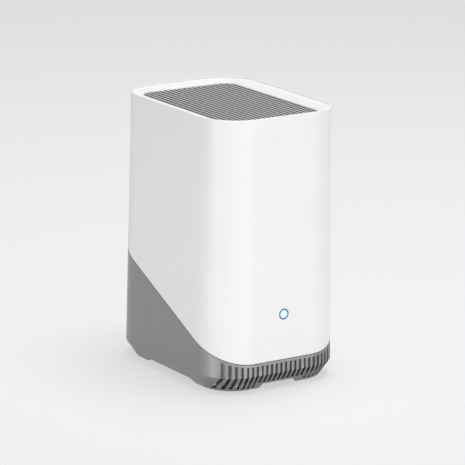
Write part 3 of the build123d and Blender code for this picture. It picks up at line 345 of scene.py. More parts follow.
# Relief in metres with its strength, spread of roughness, and the darker tone of metal
GRAIN_DEPTH = 0.00002
GRAIN_STRENGTH = 0.25
SCRATCH_DEPTH = 0.00001
SCRATCH_STRENGTH = 0.3
SCRATCH_STRETCH = (1.0, 1.0, 0.03)
WINDING_STRETCH = (0.05, 0.05, 1.0)
PLASTIC_ROUGH_SPREAD = 0.04
METAL_ROUGH_SPREAD = 0.07
METAL_DEEP_TONE = 0.85

# Copper tracks of the circuit boards: a brick pattern of this scale and line width
TRACK_SCALE = 120.0
TRACK_WIDTH = 0.035

# Sockets of the shared effects
EFFECT_INPUTS = {
    "Color": "NodeSocketColor",
    "Deep Color": "NodeSocketColor",
    "Rough Low": "NodeSocketFloat",
    "Rough High": "NodeSocketFloat",
}
EFFECT_OUTPUTS = {
    "Color": "NodeSocketColor",
    "Roughness": "NodeSocketFloat",
    "Height": "NodeSocketFloat",
}


def add_node(tree, kind, **settings):
    """Node with some of its properties set."""
    node = tree.nodes.new(kind)
    for key, value in settings.items():
        setattr(node, key, value)
    return node


def set_input(tree, socket, value):
    """Gives a socket a plain value, or joins it to another socket."""
    if isinstance(value, bpy.types.NodeSocket):
        tree.links.new(value, socket)
    elif isinstance(value, tuple) and socket.type == "RGBA":
        socket.default_value = (*value, 1.0)
    else:
        socket.default_value = value


def object_place(tree):
    """Object coordinates."""
    return add_node(tree, "ShaderNodeTexCoord").outputs["Object"]


def add_noise(tree, coordinates, scale, octaves):
    """Noise at the given coordinates."""
    noise = add_node(tree, "ShaderNodeTexNoise")
    set_input(tree, noise.inputs["Vector"], coordinates)
    set_input(tree, noise.inputs["Scale"], scale)
    set_input(tree, noise.inputs["Detail"], octaves)
    return noise.outputs["Fac"]


def add_range(tree, value, from_low, from_high, to_low=0.0, to_high=1.0):
    """Maps a value from one range onto another."""
    node = add_node(tree, "ShaderNodeMapRange")
    set_input(tree, node.inputs["Value"], value)
    ends = {"From Min": from_low, "From Max": from_high, "To Min": to_low, "To Max": to_high}
    for label, end in ends.items():
        set_input(tree, node.inputs[label], end)
    return node.outputs["Result"]


def add_blend(tree, share, first, second):
    """Blends two colours."""
    node = add_node(tree, "ShaderNodeMix", data_type="RGBA")
    set_input(tree, node.inputs["Factor"], share)
    set_input(tree, node.inputs["A"], first)
    set_input(tree, node.inputs["B"], second)
    return node.outputs["Result"]


def new_effect(name, own_label, own_kind):
    """Node group with the shared sockets and one input of its own, and its two end nodes."""
    tree = bpy.data.node_groups.new(name, "ShaderNodeTree")
    for label, kind in {**EFFECT_INPUTS, own_label: own_kind}.items():
        tree.interface.new_socket(label, in_out="INPUT", socket_type=kind)
    for label, kind in EFFECT_OUTPUTS.items():
        tree.interface.new_socket(label, in_out="OUTPUT", socket_type=kind)
    return tree, tree.nodes.new("NodeGroupInput"), tree.nodes.new("NodeGroupOutput")


def end_effect(tree, start, end, cloud, gloss, relief):
    """Joins a cloudy tone, an uneven sheen and a relief to a shared effect's outputs."""
    share = add_range(tree, cloud, NOISE_LOW, NOISE_HIGH)
    tone = add_blend(tree, share, start.outputs["Color"], start.outputs["Deep Color"])
    rough = [start.outputs["Rough Low"], start.outputs["Rough High"]]
    sheen = add_range(tree, gloss, NOISE_LOW, NOISE_HIGH, *rough)
    for label, value in (("Color", tone), ("Roughness", sheen), ("Height", relief)):
        set_input(tree, end.inputs[label], value)
    return tree


def make_moulded_effect():
    """Moulded plastic: fine spark-eroded grain, cloudy tone and uneven sheen."""
    tree, start, end = new_effect("moulded plastic", "Grain Scale", "NodeSocketFloat")
    place = object_place(tree)
    grain = add_noise(tree, place, start.outputs["Grain Scale"], FEW_OCTAVES)
    cloud = add_noise(tree, place, CLOUD_SCALE, MORE_OCTAVES)
    speck = add_noise(tree, place, SPECK_SCALE, FEW_OCTAVES)
    return end_effect(tree, start, end, cloud, speck, grain)


def make_brushed_effect():
    """Drawn or brushed metal: long scratches along one axis, with uneven sheen."""
    tree, start, end = new_effect("brushed metal", "Stretch", "NodeSocketVector")
    place = object_place(tree)
    stretch = add_node(tree, "ShaderNodeVectorMath", operation="MULTIPLY")
    set_input(tree, stretch.inputs[0], place)
    set_input(tree, stretch.inputs[1], start.outputs["Stretch"])
    lines = add_noise(tree, stretch.outputs["Vector"], SCRATCH_SCALE, MORE_OCTAVES)
    cloud = add_noise(tree, place, METAL_CLOUD_SCALE, FEW_OCTAVES)
    return end_effect(tree, start, end, cloud, lines, lines)


MOULDED = make_moulded_effect()
BRUSHED = make_brushed_effect()


def principled(material):
    """The material's surface shader."""
    return material.node_tree.nodes["Principled BSDF"]


def start_material(name, group, values, depth, strength):
    """Material whose colour, roughness and fine relief come from a shared effect."""
    material = bpy.data.materials.new(name)
    material.use_nodes = True
    tree = material.node_tree
    shader = principled(material)
    effect = add_node(tree, "ShaderNodeGroup", node_tree=group)
    for label, value in values.items():
        set_input(tree, effect.inputs[label], value)
    bump = add_node(tree, "ShaderNodeBump")
    bump.inputs["Strength"].default_value = strength
    bump.inputs["Distance"].default_value = depth
    tree.links.new(effect.outputs["Color"], shader.inputs["Base Color"])
    tree.links.new(effect.outputs["Roughness"], shader.inputs["Roughness"])
    tree.links.new(effect.outputs["Height"], bump.inputs["Height"])
    tree.links.new(bump.outputs["Normal"], shader.inputs["Normal"])
    return material


def moulded(name, colour, spread, rough, grain=GRAIN_SCALE):
    """Moulded plastic or rubber of one colour, with a small spread of tone and roughness."""
    values = {
        "Color": tuple(min(c * (1 + spread), 1.0) for c in colour),
        "Deep Color": tuple(c * (1 - spread) for c in colour),
        "Grain Scale": grain,
        "Rough Low": rough - PLASTIC_ROUGH_SPREAD,
        "Rough High": rough + PLASTIC_ROUGH_SPREAD,
    }
    return start_material(name, MOULDED, values, GRAIN_DEPTH, GRAIN_STRENGTH)


def metallic_plastic(name, colour, spread, rough, metal):
    """Moulded plastic with a share of metallic pigment."""
    material = moulded(name, colour, spread, rough)
    principled(material).inputs["Metallic"].default_value = metal
    return material


def brushed(name, colour, rough, stretch=SCRATCH_STRETCH):
    """Bare metal with fine lines along one axis."""
    values = {
        "Color": colour,
        "Deep Color": tuple(c * METAL_DEEP_TONE for c in colour),
        "Stretch": stretch,
        "Rough Low": rough - METAL_ROUGH_SPREAD,
        "Rough High": rough + METAL_ROUGH_SPREAD,
    }
    material = start_material(name, BRUSHED, values, SCRATCH_DEPTH, SCRATCH_STRENGTH)
    principled(material).inputs["Metallic"].default_value = 1.0
    return material


def light_plastic(name, colour, glow, strength):
    """Glossy plastic that gives off light, of one colour or of one that a function's nodes make."""
    material = moulded(name, colour, LIGHT_SPREAD, LIGHT_ROUGH)
    value = glow(material.node_tree) if callable(glow) else glow
    set_input(material.node_tree, principled(material).inputs["Emission Color"], value)
    principled(material).inputs["Emission Strength"].default_value = strength
    return material


def cap_glow(tree):
    """Glow that turns from white in the middle of the cap to blue near the ring."""
    spot = add_node(tree, "ShaderNodeVectorMath", operation="DISTANCE")
    set_input(tree, spot.inputs[0], object_place(tree))
    spot.inputs[1].default_value = (0.0, light_face_y() * MM, LIGHT_Z * MM)
    share = add_range(tree, spot.outputs["Value"], 0.0, (LIGHT_RADIUS - LIGHT_LINE) * MM)
    return add_blend(tree, share, CAP_MIDDLE, CAP_EDGE)


def recolour(material, change):
    """Puts a function of the tree and the plain colour between the effect and the shader."""
    tree = material.node_tree
    colour = principled(material).inputs["Base Color"]
    tree.links.new(change(tree, colour.links[0].from_socket), colour)
    return material


def painted_slot_shade(tree, plain):
    """Painted shade: darkens the walls of the grille's slots with depth, where shadow falls in them.
    """
    height = add_node(tree, "ShaderNodeSeparateXYZ")
    set_input(tree, height.inputs["Vector"], object_place(tree))
    low = (HEIGHT - DISH - SLOT_SHADE_DEPTH) * MM
    high = (HEIGHT - DISH - SLAT_ROUND / 2) * MM
    return add_blend(tree, add_range(tree, height.outputs["Z"], low, high), PAINTED_SLOT_SHADE, plain)


def board_tracks(tree, plain):
    """Paler pattern of straight copper tracks and pads under the green lacquer."""
    turn = add_node(tree, "ShaderNodeMapping")
    turn.inputs["Rotation"].default_value = (0.0, quarter_turn(1.0), 0.0)
    set_input(tree, turn.inputs["Vector"], object_place(tree))
    tracks = add_node(tree, "ShaderNodeTexBrick")
    values = {
        "Vector": turn.outputs["Vector"],
        "Scale": TRACK_SCALE,
        "Mortar Size": TRACK_WIDTH,
        "Color1": BLACK,
        "Color2": BLACK,
        "Mortar": WHITE,
    }
    for label, value in values.items():
        set_input(tree, tracks.inputs[label], value)
    return add_blend(tree, tracks.outputs["Color"], plain, TRACK_GREEN)


# A material for each slot. Plastic: colour, spread of tone, roughness. Metal: colour, roughness.
MATERIALS = {
    "white_shell": moulded("satin white shell", SHELL_WHITE, 0.006, 0.42),
    # Grille grey with painted shade down the walls of its slots
    "grille_grey": recolour(moulded("grille grey with painted slot shade", SLAT_GREY, 0.02, 0.45), painted_slot_shade),
    "base_grey": metallic_plastic("metallic grey plastic", BASE_GREY, 0.02, 0.36, 1.0),
    "inner_plastic": moulded("black inner plastic", (0.012, 0.012, 0.013), 0.1, 0.5),
    "socket_plastic": moulded("black socket plastic", (0.01, 0.01, 0.011), 0.1, 0.38),
    "contact_metal": brushed("gold contacts", (0.78, 0.55, 0.22), 0.25),
    "rubber_grey": moulded("dark foot rubber", (0.02, 0.02, 0.021), 0.12, 0.75, RUBBER_GRAIN_SCALE),
    "light_guide": light_plastic("blue light guide", RING_BLUE, RING_BLUE, RING_GLOW),
    "light_cap": light_plastic("pale light cap", CAP_BLUE, cap_glow, CAP_GLOW),
    "led_package": moulded("light source package", (0.80, 0.78, 0.62), 0.03, 0.35),
    "board_green": recolour(moulded("green board lacquer", BOARD_GREEN, 0.1, 0.3), board_tracks),
    "chip_black": moulded("black chip resin", (0.012, 0.012, 0.013), 0.1, 0.55),
    "screw_steel": brushed("zinc plated screws", (0.62, 0.62, 0.64), 0.3),
    "sheet_steel": brushed("bare sheet steel", (0.60, 0.60, 0.62), 0.34),
    "heatsink_metal": brushed("extruded aluminium", (0.78, 0.78, 0.80), 0.36),
    "pad_grey": moulded("soft thermal pad", (0.20, 0.22, 0.30), 0.06, 0.8),
    "magnet_steel": brushed("plated magnet", (0.40, 0.40, 0.41), 0.3),
    "cone_black": moulded("coated paper cone", (0.02, 0.02, 0.022), 0.2, 0.8, PAPER_GRAIN_SCALE),
    "stator_copper": brushed("enamelled copper", (0.60, 0.25, 0.10), 0.35, WINDING_STRETCH),
}

# The CAD pieces wear the material of their slot
for name, node in frame["nodes"].items():
    node.data.materials.clear()
    node.data.materials.append(MATERIALS[node_slots[name]])

# Angles in degrees: facets that join, facets of one curve, and edges that get a radius
FLAT_STEP = 0.6
CURVE_STEP = 18.0
SHARP_EDGE = 40.0
EDGE_SEGMENTS = 2

# How closely a wall's facet follows the body's outline, and the tilt that makes it a level facet
OUTLINE_MATCH = math.cos(math.radians(20.0))
LEVEL_FACE = 0.9

# Softened pieces: the CAD node, the radius of its edges in millimetres, and the body
SOFT_EDGES = {
    "grey_base": ("base_housing", 0.18, "case"),
    "floor_plate": ("base_plate", 0.15, "case"),
    "socket_panel": ("port_panel", 0.12, "case"),
    "ethernet_body": ("ethernet_jack", 0.12, "case"),
    "power_inlet": ("dc_jack", 0.12, "case"),
    "fan_frame": ("fan_housing", 0.2, "case"),
    "bay_door": ("drive_bay_door", 0.12, "drive_bay_door"),
    "fan_wheel": ("fan_rotor", 0.15, "fan_rotor"),
}


def outline_direction(point):
    """Level direction out of the body's rounded outline at a point in metres."""
    past_x = max(abs(point.x) / MM - (WIDTH / 2 - CORNER), 0.0)
    past_y = max(abs(point.y) / MM - (DEPTH / 2 - CORNER), 0.0)
    return Vector((math.copysign(past_x, point.x), math.copysign(past_y, point.y))).normalized()


def follow_outline(mesh):
    """Shades the facets of the walls as the smooth rounded outline they stand for."""
    normals = [Vector(corner.vector) for corner in mesh.corner_normals]
    for face in mesh.polygons:
        if abs(face.normal.z) > LEVEL_FACE:
            continue
        flat = face.normal.to_2d().normalized()
        outs = [outline_direction(mesh.vertices[index].co) for index in face.vertices]
        if min(out.dot(flat) for out in outs) < OUTLINE_MATCH:
            continue
        level = math.sqrt(1 - face.normal.z**2)
        for corner, out in zip(face.loop_indices, outs):
            normals[corner] = Vector((out.x * level, out.y * level, face.normal.z))
    mesh.normals_split_custom_set(normals)


def welded_copy(node):
    """Copy of a CAD node's mesh, in metres, whose facets share their vertices."""
    bm = bmesh.new()
    bm.from_mesh(frame["nodes"][node].data)
    bmesh.ops.remove_doubles(bm, verts=bm.verts, dist=WELD * MM)
    return bm


def soften_node(name, node, width, body):
    """Merged copy of a CAD node whose sharp edges get a small radius."""
    bm = welded_copy(node)
    bmesh.ops.dissolve_limit(bm, angle_limit=math.radians(FLAT_STEP), verts=bm.verts, edges=bm.edges)
    mesh = bpy.data.meshes.new(name)
    bm.to_mesh(mesh)
    bm.free()
    made = new_object(name, mesh, MATERIALS[node_slots[node]])
    edge = made.modifiers.new("edge radius", "BEVEL")
    edge.width = width * MM
    edge.segments = EDGE_SEGMENTS
    edge.limit_method = "ANGLE"
    edge.angle_limit = math.radians(SHARP_EDGE)
    edge.use_clamp_overlap = True
    smooth_by_angle(bake_modifiers(made), CURVE_STEP)
    flat = made.modifiers.new("flat faces stay flat", "WEIGHTED_NORMAL")
    flat.keep_sharp = True
    follow_outline(bake_modifiers(made))
    dress(made, node, body)


make_sleeve()
for name, values in SOFT_EDGES.items():
    soften_node(name, *values)


# Copies of one shape at many places
def make_copies_tree():
    """Geometry nodes: a copy of one object at each vertex of the mesh."""
    tree = bpy.data.node_groups.new("copies at places", "GeometryNodeTree")
    tree.is_modifier = True
    face = tree.interface
    face.new_socket("Places", in_out="INPUT", socket_type="NodeSocketGeometry")
    face.new_socket("Original", in_out="INPUT", socket_type="NodeSocketObject")
    face.new_socket("Material", in_out="INPUT", socket_type="NodeSocketMaterial")
    face.new_socket("Geometry", in_out="OUTPUT", socket_type="NodeSocketGeometry")
    start = tree.nodes.new("NodeGroupInput")
    end = tree.nodes.new("NodeGroupOutput")
    info = tree.nodes.new("GeometryNodeObjectInfo")
    copies = tree.nodes.new("GeometryNodeInstanceOnPoints")
    real = tree.nodes.new("GeometryNodeRealizeInstances")
    coat = tree.nodes.new("GeometryNodeSetMaterial")
    tree.links.new(start.outputs["Places"], copies.inputs["Points"])
    tree.links.new(start.outputs["Original"], info.inputs["Object"])
    tree.links.new(info.outputs["Geometry"], copies.inputs["Instance"])
    tree.links.new(copies.outputs["Instances"], real.inputs["Geometry"])
    tree.links.new(real.outputs["Geometry"], coat.inputs["Geometry"])
    tree.links.new(start.outputs["Material"], coat.inputs["Material"])
    tree.links.new(coat.outputs["Geometry"], end.inputs["Geometry"])
    return tree


COPIES = make_copies_tree()
COPY_INPUTS = {
    item.name: item.identifier
    for item in COPIES.interface.items_tree
    if item.item_type == "SOCKET" and item.in_out == "INPUT"
}


def copy_to_places(name, original, places, material):
    """One object made of copies of a helper at places in millimetres. The helper goes."""
    mesh = bpy.data.meshes.new(name)
    mesh.from_pydata([tuple(v * MM for v in place) for place in places], [], [])
    made = new_object(name, mesh)
    copies = made.modifiers.new("copies", "NODES")
    copies.node_group = COPIES
    copies[COPY_INPUTS["Original"]] = original
    copies[COPY_INPUTS["Material"]] = material
    smooth_by_angle(bake_modifiers(made))
    bpy.data.objects.remove(original)
    return made


def make_turned(profile, steps=RING_STEPS):
    """Solid of revolution about Z from (radius, height) pairs that run outwards and up."""
    bm = bmesh.new()
    rings = []
    for radius, z in profile:
        count = 1 if radius == 0.0 else steps
        turns = [2 * math.pi * i / steps for i in range(count)]
        rings.append([bm.verts.new((radius * math.cos(t), radius * math.sin(t), z)) for t in turns])
    for low, high in zip(rings, rings[1:]):
        for i in range(steps):
            j = (i + 1) % steps
            corners = [low[i % len(low)], low[j % len(low)], high[j % len(high)], high[i % len(high)]]
            unique = [v for k, v in enumerate(corners) if v not in corners[:k]]
            if len(unique) > 2:
                bm.faces.new(unique)
    bmesh.ops.recalc_face_normals(bm, faces=bm.faces)
    return bm


def face_along(bm, direction):
    """Turns a shape that points up +Z so that it points along a direction."""
    turn = Vector(direction).to_track_quat("Z", "Y").to_matrix()
    bmesh.ops.rotate(bm, cent=(0.0, 0.0, 0.0), matrix=turn, verts=bm.verts)


# Sunk grille: a bordered frame below slats that run from edge to edge of the opening
SLAT_SINK = 0.05
SLAT_STEPS = 3
BORDER_SINK = 0.5
GRILLE_FIT = 0.2
GRILLE_FLANGE = 2.0
GRILLE_TOP = HEIGHT - DISH


def make_grille_frame():
    """Border of the grille, with a flange that seats under the roof."""
    low = GRILLE_TOP - GRILLE_THICKNESS
    seat = GRILLE_TOP - WALL
    top = GRILLE_TOP - BORDER_SINK
    profile = [
        (-GRILLE_FLANGE, low), (-GRILLE_FLANGE, seat), (GRILLE_FIT, seat), (GRILLE_FIT, top),
        (GRILLE_BORDER, top), (GRILLE_BORDER, low),
    ]
    bm = bmesh.new()
    rings = [add_ring(bm, grille_outline(inset), z) for inset, z in profile]
    rings.append(rings[0])
    bridge_rows(bm, rings)
    bmesh.ops.recalc_face_normals(bm, faces=bm.faces)
    made = new_object("grille_frame", to_mesh("grille frame", bm), MATERIALS["grille_grey"])
    dress(made, "top_grille")


def make_slat():
    """One slat along Y, centred on the origin, with rounded upper edges."""
    half_x = (GRILLE_PITCH - GRILLE_SLOT) / 2
    half_y = GRILLE_DEPTH / 2
    outline = [(-half_x, -GRILLE_THICKNESS), (half_x, -GRILLE_THICKNESS)]
    for side in (1, -1):
        for step in range(SLAT_STEPS + 1):
            turn = quarter_turn(step / SLAT_STEPS if side > 0 else 1 - step / SLAT_STEPS)
            x = half_x - SLAT_ROUND * (1 - math.cos(turn))
            outline.append((side * x, -SLAT_SINK - SLAT_ROUND * (1 - math.sin(turn))))
    bm = bmesh.new()
    front = [bm.verts.new((x, -half_y, z)) for x, z in outline]
    back = [bm.verts.new((x, half_y, z)) for x, z in outline]
    return make_prism("slat", bm, front, back)


def make_opening_block():
    """Block with the outline of the grille's opening, to trim the slats' ends."""
    bm = bmesh.new()
    outline = grille_outline(GRILLE_FIT)
    low = add_ring(bm, outline, GRILLE_TOP - 2 * GRILLE_THICKNESS)
    return make_prism("opening", bm, low, add_ring(bm, outline, HEIGHT))


def make_slats():
    """Slats across the whole opening, trimmed to its outline. The outer two are the side rails."""
    count = GRILLE_SLOTS + 1
    places = [(GRILLE_PITCH * (i - (count - 1) / 2), 0.0, GRILLE_TOP) for i in range(count)]
    row = copy_to_places("grille_slats", make_slat(), places, MATERIALS["grille_grey"])
    cut_with(row, make_opening_block(), "INTERSECT")
    smooth_by_angle(row.data)
    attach(row, "case")


make_grille_frame()
make_slats()

# Directions
UP = (0.0, 0.0, 1.0)
DOWN = (0.0, 0.0, -1.0)
RIGHT = (1.0, 0.0, 0.0)
LEFT = (-1.0, 0.0, 0.0)
BACK = (0.0, 1.0, 0.0)
FRONT = (0.0, -1.0, 0.0)

# Ring light: a raised blue guide round a pale domed cap
RING_PROUD = 0.12
RING_EDGE = 0.08
CAP_DOME = 0.10
CAP_DEPTH = 1.0
DOME_STEPS = 4


def place_on_front(name, profile, node):
    """Turned piece that points out of the front wall at the ring light's centre."""
    bm = make_turned(profile)
    face_along(bm, FRONT)
    bmesh.ops.translate(bm, vec=(0.0, light_face_y(), LIGHT_Z), verts=bm.verts)
    dress(new_object(name, to_mesh(name, bm), MATERIALS[node_slots[node]]), node)


def make_light():
    """The ring and its cap in the front wall."""
    inner = LIGHT_RADIUS - LIGHT_LINE
    shoulder = RING_PROUD - RING_EDGE
    ring = [
        (inner, -WALL), (LIGHT_RADIUS, -WALL), (LIGHT_RADIUS, shoulder),
        (LIGHT_RADIUS - RING_EDGE, RING_PROUD), (inner + RING_EDGE, RING_PROUD),
        (inner, shoulder), (inner, -WALL),
    ]
    place_on_front("ring_light_guide", ring, "led_light_ring")
    edge = inner - LIGHT_GAP
    cap = [(0.0, -CAP_DEPTH), (edge, -CAP_DEPTH)]
    for step in range(DOME_STEPS):
        turn = quarter_turn(step / DOME_STEPS)
        cap.append((edge * math.cos(turn), CAP_DOME * math.sin(turn)))
    cap.append((0.0, CAP_DOME))
    place_on_front("ring_light_cap", cap, "led_cap")


make_light()

# Screws: pan heads with a cross recess, at the places of the CAD's screws
CROWN_STEPS = 5
SCREW_STEPS = 32
# Shares of the head's height, of its radius, and of the shank's radius
CROWN_SHARE = 0.45
CROSS_DEPTH_SHARE = 0.6
CROSS_REACH_SHARE = 0.55
CROSS_WIDTH_SHARE = 0.13
TIP_RADIUS_SHARE = 0.7
TIP_LENGTH_SHARE = 0.5
# Direction of the head, its radius and height, and the shank's radius, in millimetres
SCREWS = {
    "case_screws": (DOWN, 2.8, 1.8, 1.5),
    "door_screws": (DOWN, 2.1, 1.2, 1.2),
    "frame_screws": (DOWN, 2.4, 1.4, 1.25),
    "carrier_screws": (DOWN, 2.4, 1.4, 1.25),
    "cage_screws": (RIGHT, 2.3, 1.4, 1.25),
    "heatsink_screws": (RIGHT, 2.3, 1.2, 1.25),
    "board_screws": (LEFT, 2.3, 1.4, 1.25),
    "sata_screws": (UP, 2.1, 1.2, 1.2),
    "fan_screws": (UP, 2.6, 1.6, 1.5),
    "speaker_screws": (UP, 2.1, 1.2, 1.25),
    "led_screws": (BACK, 1.7, 1.0, 0.9),
}


def solid_boxes(node):
    """Low and high corners, in millimetres, of each separate solid in a CAD node."""
    bm = welded_copy(node)
    left = set(bm.verts)
    boxes = []
    while left:
        island = []
        queue = [left.pop()]
        while queue:
            vert = queue.pop()
            island.append(vert.co / MM)
            near = {edge.other_vert(vert) for edge in vert.link_edges} & left
            left -= near
            queue.extend(near)
        low = Vector([min(p[k] for p in island) for k in range(3)])
        high = Vector([max(p[k] for p in island) for k in range(3)])
        boxes.append((low, high))
    bm.free()
    return boxes


def make_cross_bar(wide, deep, sunk):
    """One bar of a cross recess, from its half widths and its depth."""
    bm = bmesh.new()
    bmesh.ops.create_cube(bm, size=2.0)
    bmesh.ops.scale(bm, vec=(wide, deep, sunk), verts=bm.verts)
    return new_object("cross", to_mesh("cross", bm))


def make_screw(head_radius, head_height, shank_radius, length, direction):
    """Screw whose head's top is at the origin and points along a direction."""
    crown = head_height * CROWN_SHARE
    profile = [
        (0.0, -length), (shank_radius * TIP_RADIUS_SHARE, -length),
        (shank_radius, shank_radius * TIP_LENGTH_SHARE - length),
        (shank_radius, -head_height), (head_radius, -head_height),
    ]
    for step in range(CROWN_STEPS + 1):
        turn = quarter_turn(step / CROWN_STEPS)
        profile.append((head_radius - crown * (1 - math.cos(turn)), -crown * (1 - math.sin(turn))))
    profile.append((0.0, 0.0))
    screw = new_object("screw", to_mesh("screw", make_turned(profile, SCREW_STEPS)))
    reach = head_radius * CROSS_REACH_SHARE
    slot = head_radius * CROSS_WIDTH_SHARE
    sunk = head_height * CROSS_DEPTH_SHARE
    cut_with(screw, make_cross_bar(reach, slot, sunk))
    cut_with(screw, make_cross_bar(slot, reach, sunk))
    turned = bmesh.new()
    turned.from_mesh(screw.data)
    face_along(turned, direction)
    turned.to_mesh(screw.data)
    turned.free()
    return screw


def make_screws(node, direction, head_radius, head_height, shank_radius):
    """All the screws of one node."""
    axis = Vector(direction)
    boxes = solid_boxes(node)
    places = []
    for low, high in boxes:
        half = (high - low) / 2
        places.append((low + high) / 2 + Vector([axis[k] * half[k] for k in range(3)]))
    length = abs((boxes[0][1] - boxes[0][0]).dot(axis))
    screw = make_screw(head_radius, head_height, shank_radius, length, direction)
    made = copy_to_places(node + "_set", screw, places, MATERIALS["screw_steel"])
    dress(made, node, "drive_bay_door" if node == "door_screws" else "case")


for node, sizes in SCREWS.items():
    make_screws(node, *sizes)

# Rubber feet with rings moulded in the tread
FOOT_RADIUS = 6.0
FOOT_HEIGHT = 2.6
FOOT_EDGE = 0.3
TREAD_RINGS = [1.6, 3.1, 4.6]
TREAD_WIDTH = 0.5
TREAD_DEPTH = 0.35


def make_feet():
    """The four feet, turned with three rings sunk in the face that stands on the floor."""
    profile = [(0.0, 0.0)]
    for radius in TREAD_RINGS:
        low = radius - TREAD_WIDTH / 2
        high = radius + TREAD_WIDTH / 2
        profile += [(low, 0.0), (low, TREAD_DEPTH), (high, TREAD_DEPTH), (high, 0.0)]
    profile += [(FOOT_RADIUS - FOOT_EDGE, 0.0), (FOOT_RADIUS, FOOT_EDGE)]
    profile += [(FOOT_RADIUS, FOOT_HEIGHT), (0.0, FOOT_HEIGHT)]
    foot = new_object("foot", to_mesh("foot", make_turned(profile)))
    places = []
    for low, high in solid_boxes("rubber_feet"):
        places.append(((low.x + high.x) / 2, (low.y + high.y) / 2, 0.0))
    dress(copy_to_places("tread_feet", foot, places, MATERIALS["rubber_grey"]), "rubber_feet")


make_feet()

# Button on the back, with a shallow finger dish
BUTTON_RADIUS = 3.25
BUTTON_DISH = 0.25
BUTTON_EDGE = 0.3
BUTTON_FLANGE = 4.3
BUTTON_FLANGE_DEPTH = 1.0
BUTTON_STEM = 1.5
BUTTON_BODY = 2.4
BUTTON_STEPS = 5


def make_button():
    """The button: dished face, flange behind the panel and the stem that reaches the switch."""
    low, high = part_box("sync_button")
    middle = [(low[k] + high[k]) / 2 / MM for k in range(3)]
    length = (high[1] - low[1]) / MM
    flange = -BUTTON_BODY - BUTTON_FLANGE_DEPTH
    profile = [
        (0.0, -length), (BUTTON_STEM, -length), (BUTTON_STEM, flange), (BUTTON_FLANGE, flange),
        (BUTTON_FLANGE, -BUTTON_BODY), (BUTTON_RADIUS, -BUTTON_BODY),
        (BUTTON_RADIUS, -BUTTON_EDGE), (BUTTON_RADIUS - BUTTON_EDGE, 0.0),
    ]
    rim = BUTTON_RADIUS - 2 * BUTTON_EDGE
    for step in range(BUTTON_STEPS):
        share = 1 - step / BUTTON_STEPS
        profile.append((rim * share, -BUTTON_DISH * (1 - share**2)))
    profile.append((0.0, -BUTTON_DISH))
    bm = make_turned(profile)
    face_along(bm, BACK)
    bmesh.ops.translate(bm, vec=(middle[0], high[1] / MM, middle[2]), verts=bm.verts)
    material = MATERIALS[node_slots["sync_button"]]
    made = new_object("pairing_button", to_mesh("pairing button", bm), material)
    dress(made, "sync_button", "sync_button")


make_button()

# Camera: fitted to the photograph, 465 by 465 pixels
PICTURE = 465
FOCAL_PIXELS = 3027.6
SENSOR = 36.0
CLIP_END = 10000.0
CAMERA_AZIMUTH = math.radians(-33.696)
CAMERA_ELEVATION = math.radians(14.675)
CAMERA_ROLL = math.radians(0.739)
CAMERA_DISTANCE = 2049.157
CAMERA_SHIFT_X = -2.693
CAMERA_SHIFT_Y = 0.721
CAMERA_TARGET = Vector((0.0, 0.0, HEIGHT / 2))


def make_camera():
    """Camera at the photograph's angle, with a small roll and offset of its axis."""
    a = CAMERA_AZIMUTH
    e = CAMERA_ELEVATION
    back = Vector((math.sin(a) * math.cos(e), -math.cos(a) * math.cos(e), math.sin(e)))
    level = Vector((math.cos(a), math.sin(a), 0.0))
    upward = back.cross(level)
    right = level * math.cos(CAMERA_ROLL) + upward * math.sin(CAMERA_ROLL)
    up = upward * math.cos(CAMERA_ROLL) - level * math.sin(CAMERA_ROLL)
    place = CAMERA_TARGET + back * CAMERA_DISTANCE - right * CAMERA_SHIFT_X - up * CAMERA_SHIFT_Y
    camera = new_object("camera", bpy.data.cameras.new("camera"))
    camera.data.sensor_width = SENSOR
    camera.data.lens = FOCAL_PIXELS * SENSOR / PICTURE
    turn = Matrix((right, up, back)).transposed().to_4x4()
    camera.matrix_world = Matrix.Translation(place * MM) @ turn
    camera.data.clip_end = CLIP_END * MM
    bpy.context.scene.camera = camera


make_camera()

# Power in watts, place, width and height of each softbox
SOFTBOXES = {
    "front softbox": (6.8, (300.0, -1470.0, 65.0), 900.0, 120.0),
    "corner softbox": (2.7, (-830.0, -1250.0, 65.0), 800.0, 120.0),
    "side softbox": (5.4, (-1470.0, -300.0, 65.0), 500.0, 120.0),
    "top softbox": (17.0, (200.0, 0.0, 1500.0), 900.0, 900.0),
}


def make_lamp(name, power, place, width, height):
    """Soft lamp that points at the middle of the object."""
    lamp = bpy.data.lights.new(name, "AREA")
    lamp.energy = power
    lamp.shape = "RECTANGLE"
    lamp.size = width * MM
    lamp.size_y = height * MM
    light = new_object(name, lamp)
    light.location = Vector(place) * MM
    light.rotation_euler = (CAMERA_TARGET - Vector(place)).to_track_quat("-Z", "Y").to_euler()


for name, sizes in SOFTBOXES.items():
    make_lamp(name, *sizes)

# World and floor: their light, and the white that the camera sees in their place
WORLD_LEVEL = 0.25
BACKDROP_WHITE = 0.93
FLOOR_WHITE_SHARE = 0.6
FLOOR_REACH = 6000.0
FLOOR_COLOUR = (0.86, 0.86, 0.86)
FLOOR_ROUGH = 0.9
FLOOR_SPECULAR = 0.1


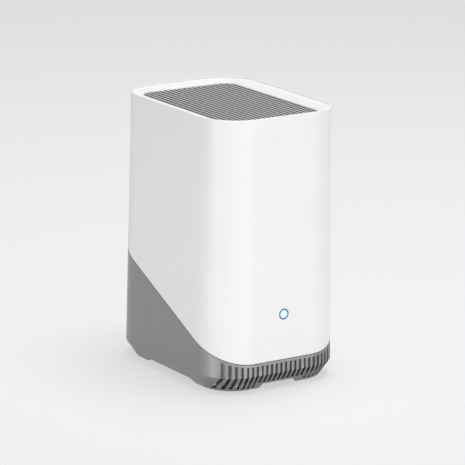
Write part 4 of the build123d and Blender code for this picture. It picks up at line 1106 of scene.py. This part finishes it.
def show_white(tree, shader, share):
    """Mixes white into what the camera, mirrors and glass see, and leaves the lighting as it is."""
    white = add_node(tree, "ShaderNodeEmission")
    white.inputs["Strength"].default_value = BACKDROP_WHITE
    path = add_node(tree, "ShaderNodeLightPath")
    seen = add_node(tree, "ShaderNodeMath", operation="MAXIMUM")
    also = add_node(tree, "ShaderNodeMath", operation="MAXIMUM")
    part = add_node(tree, "ShaderNodeMath", operation="MULTIPLY")
    part.inputs[1].default_value = share
    mix = add_node(tree, "ShaderNodeMixShader")
    tree.links.new(path.outputs["Is Camera Ray"], seen.inputs[0])
    tree.links.new(path.outputs["Is Glossy Ray"], seen.inputs[1])
    tree.links.new(seen.outputs["Value"], also.inputs[0])
    tree.links.new(path.outputs["Is Transmission Ray"], also.inputs[1])
    tree.links.new(also.outputs["Value"], part.inputs[0])
    tree.links.new(part.outputs["Value"], mix.inputs["Fac"])
    tree.links.new(shader, mix.inputs[1])
    tree.links.new(white.outputs["Emission"], mix.inputs[2])
    return mix.outputs["Shader"]


def make_world():
    """Even pale surroundings."""
    world = bpy.data.worlds.new("studio")
    bpy.context.scene.world = world
    world.use_nodes = True
    tree = world.node_tree
    shade = tree.nodes["Background"]
    shade.inputs["Color"].default_value = (*WHITE, 1.0)
    shade.inputs["Strength"].default_value = WORLD_LEVEL
    seen = show_white(tree, shade.outputs["Background"], 1.0)
    tree.links.new(seen, tree.nodes["World Output"].inputs["Surface"])


def make_floor():
    """Pale matt floor that keeps the soft shadow."""
    material = bpy.data.materials.new("pale floor")
    material.use_nodes = True
    tree = material.node_tree
    shader = principled(material)
    shader.inputs["Base Color"].default_value = (*FLOOR_COLOUR, 1.0)
    shader.inputs["Roughness"].default_value = FLOOR_ROUGH
    shader.inputs["Specular IOR Level"].default_value = FLOOR_SPECULAR
    seen = show_white(tree, shader.outputs["BSDF"], FLOOR_WHITE_SHARE)
    tree.links.new(seen, tree.nodes["Material Output"].inputs["Surface"])
    reach = FLOOR_REACH * MM
    signs = [(-1, -1), (1, -1), (1, 1), (-1, 1)]
    mesh = bpy.data.meshes.new("floor")
    mesh.from_pydata([(x * reach, y * reach, 0.0) for x, y in signs], [], [(0, 1, 2, 3)])
    new_object("floor", mesh, material)


make_world()
make_floor()
bpy.context.scene.view_settings.view_transform = "Standard"
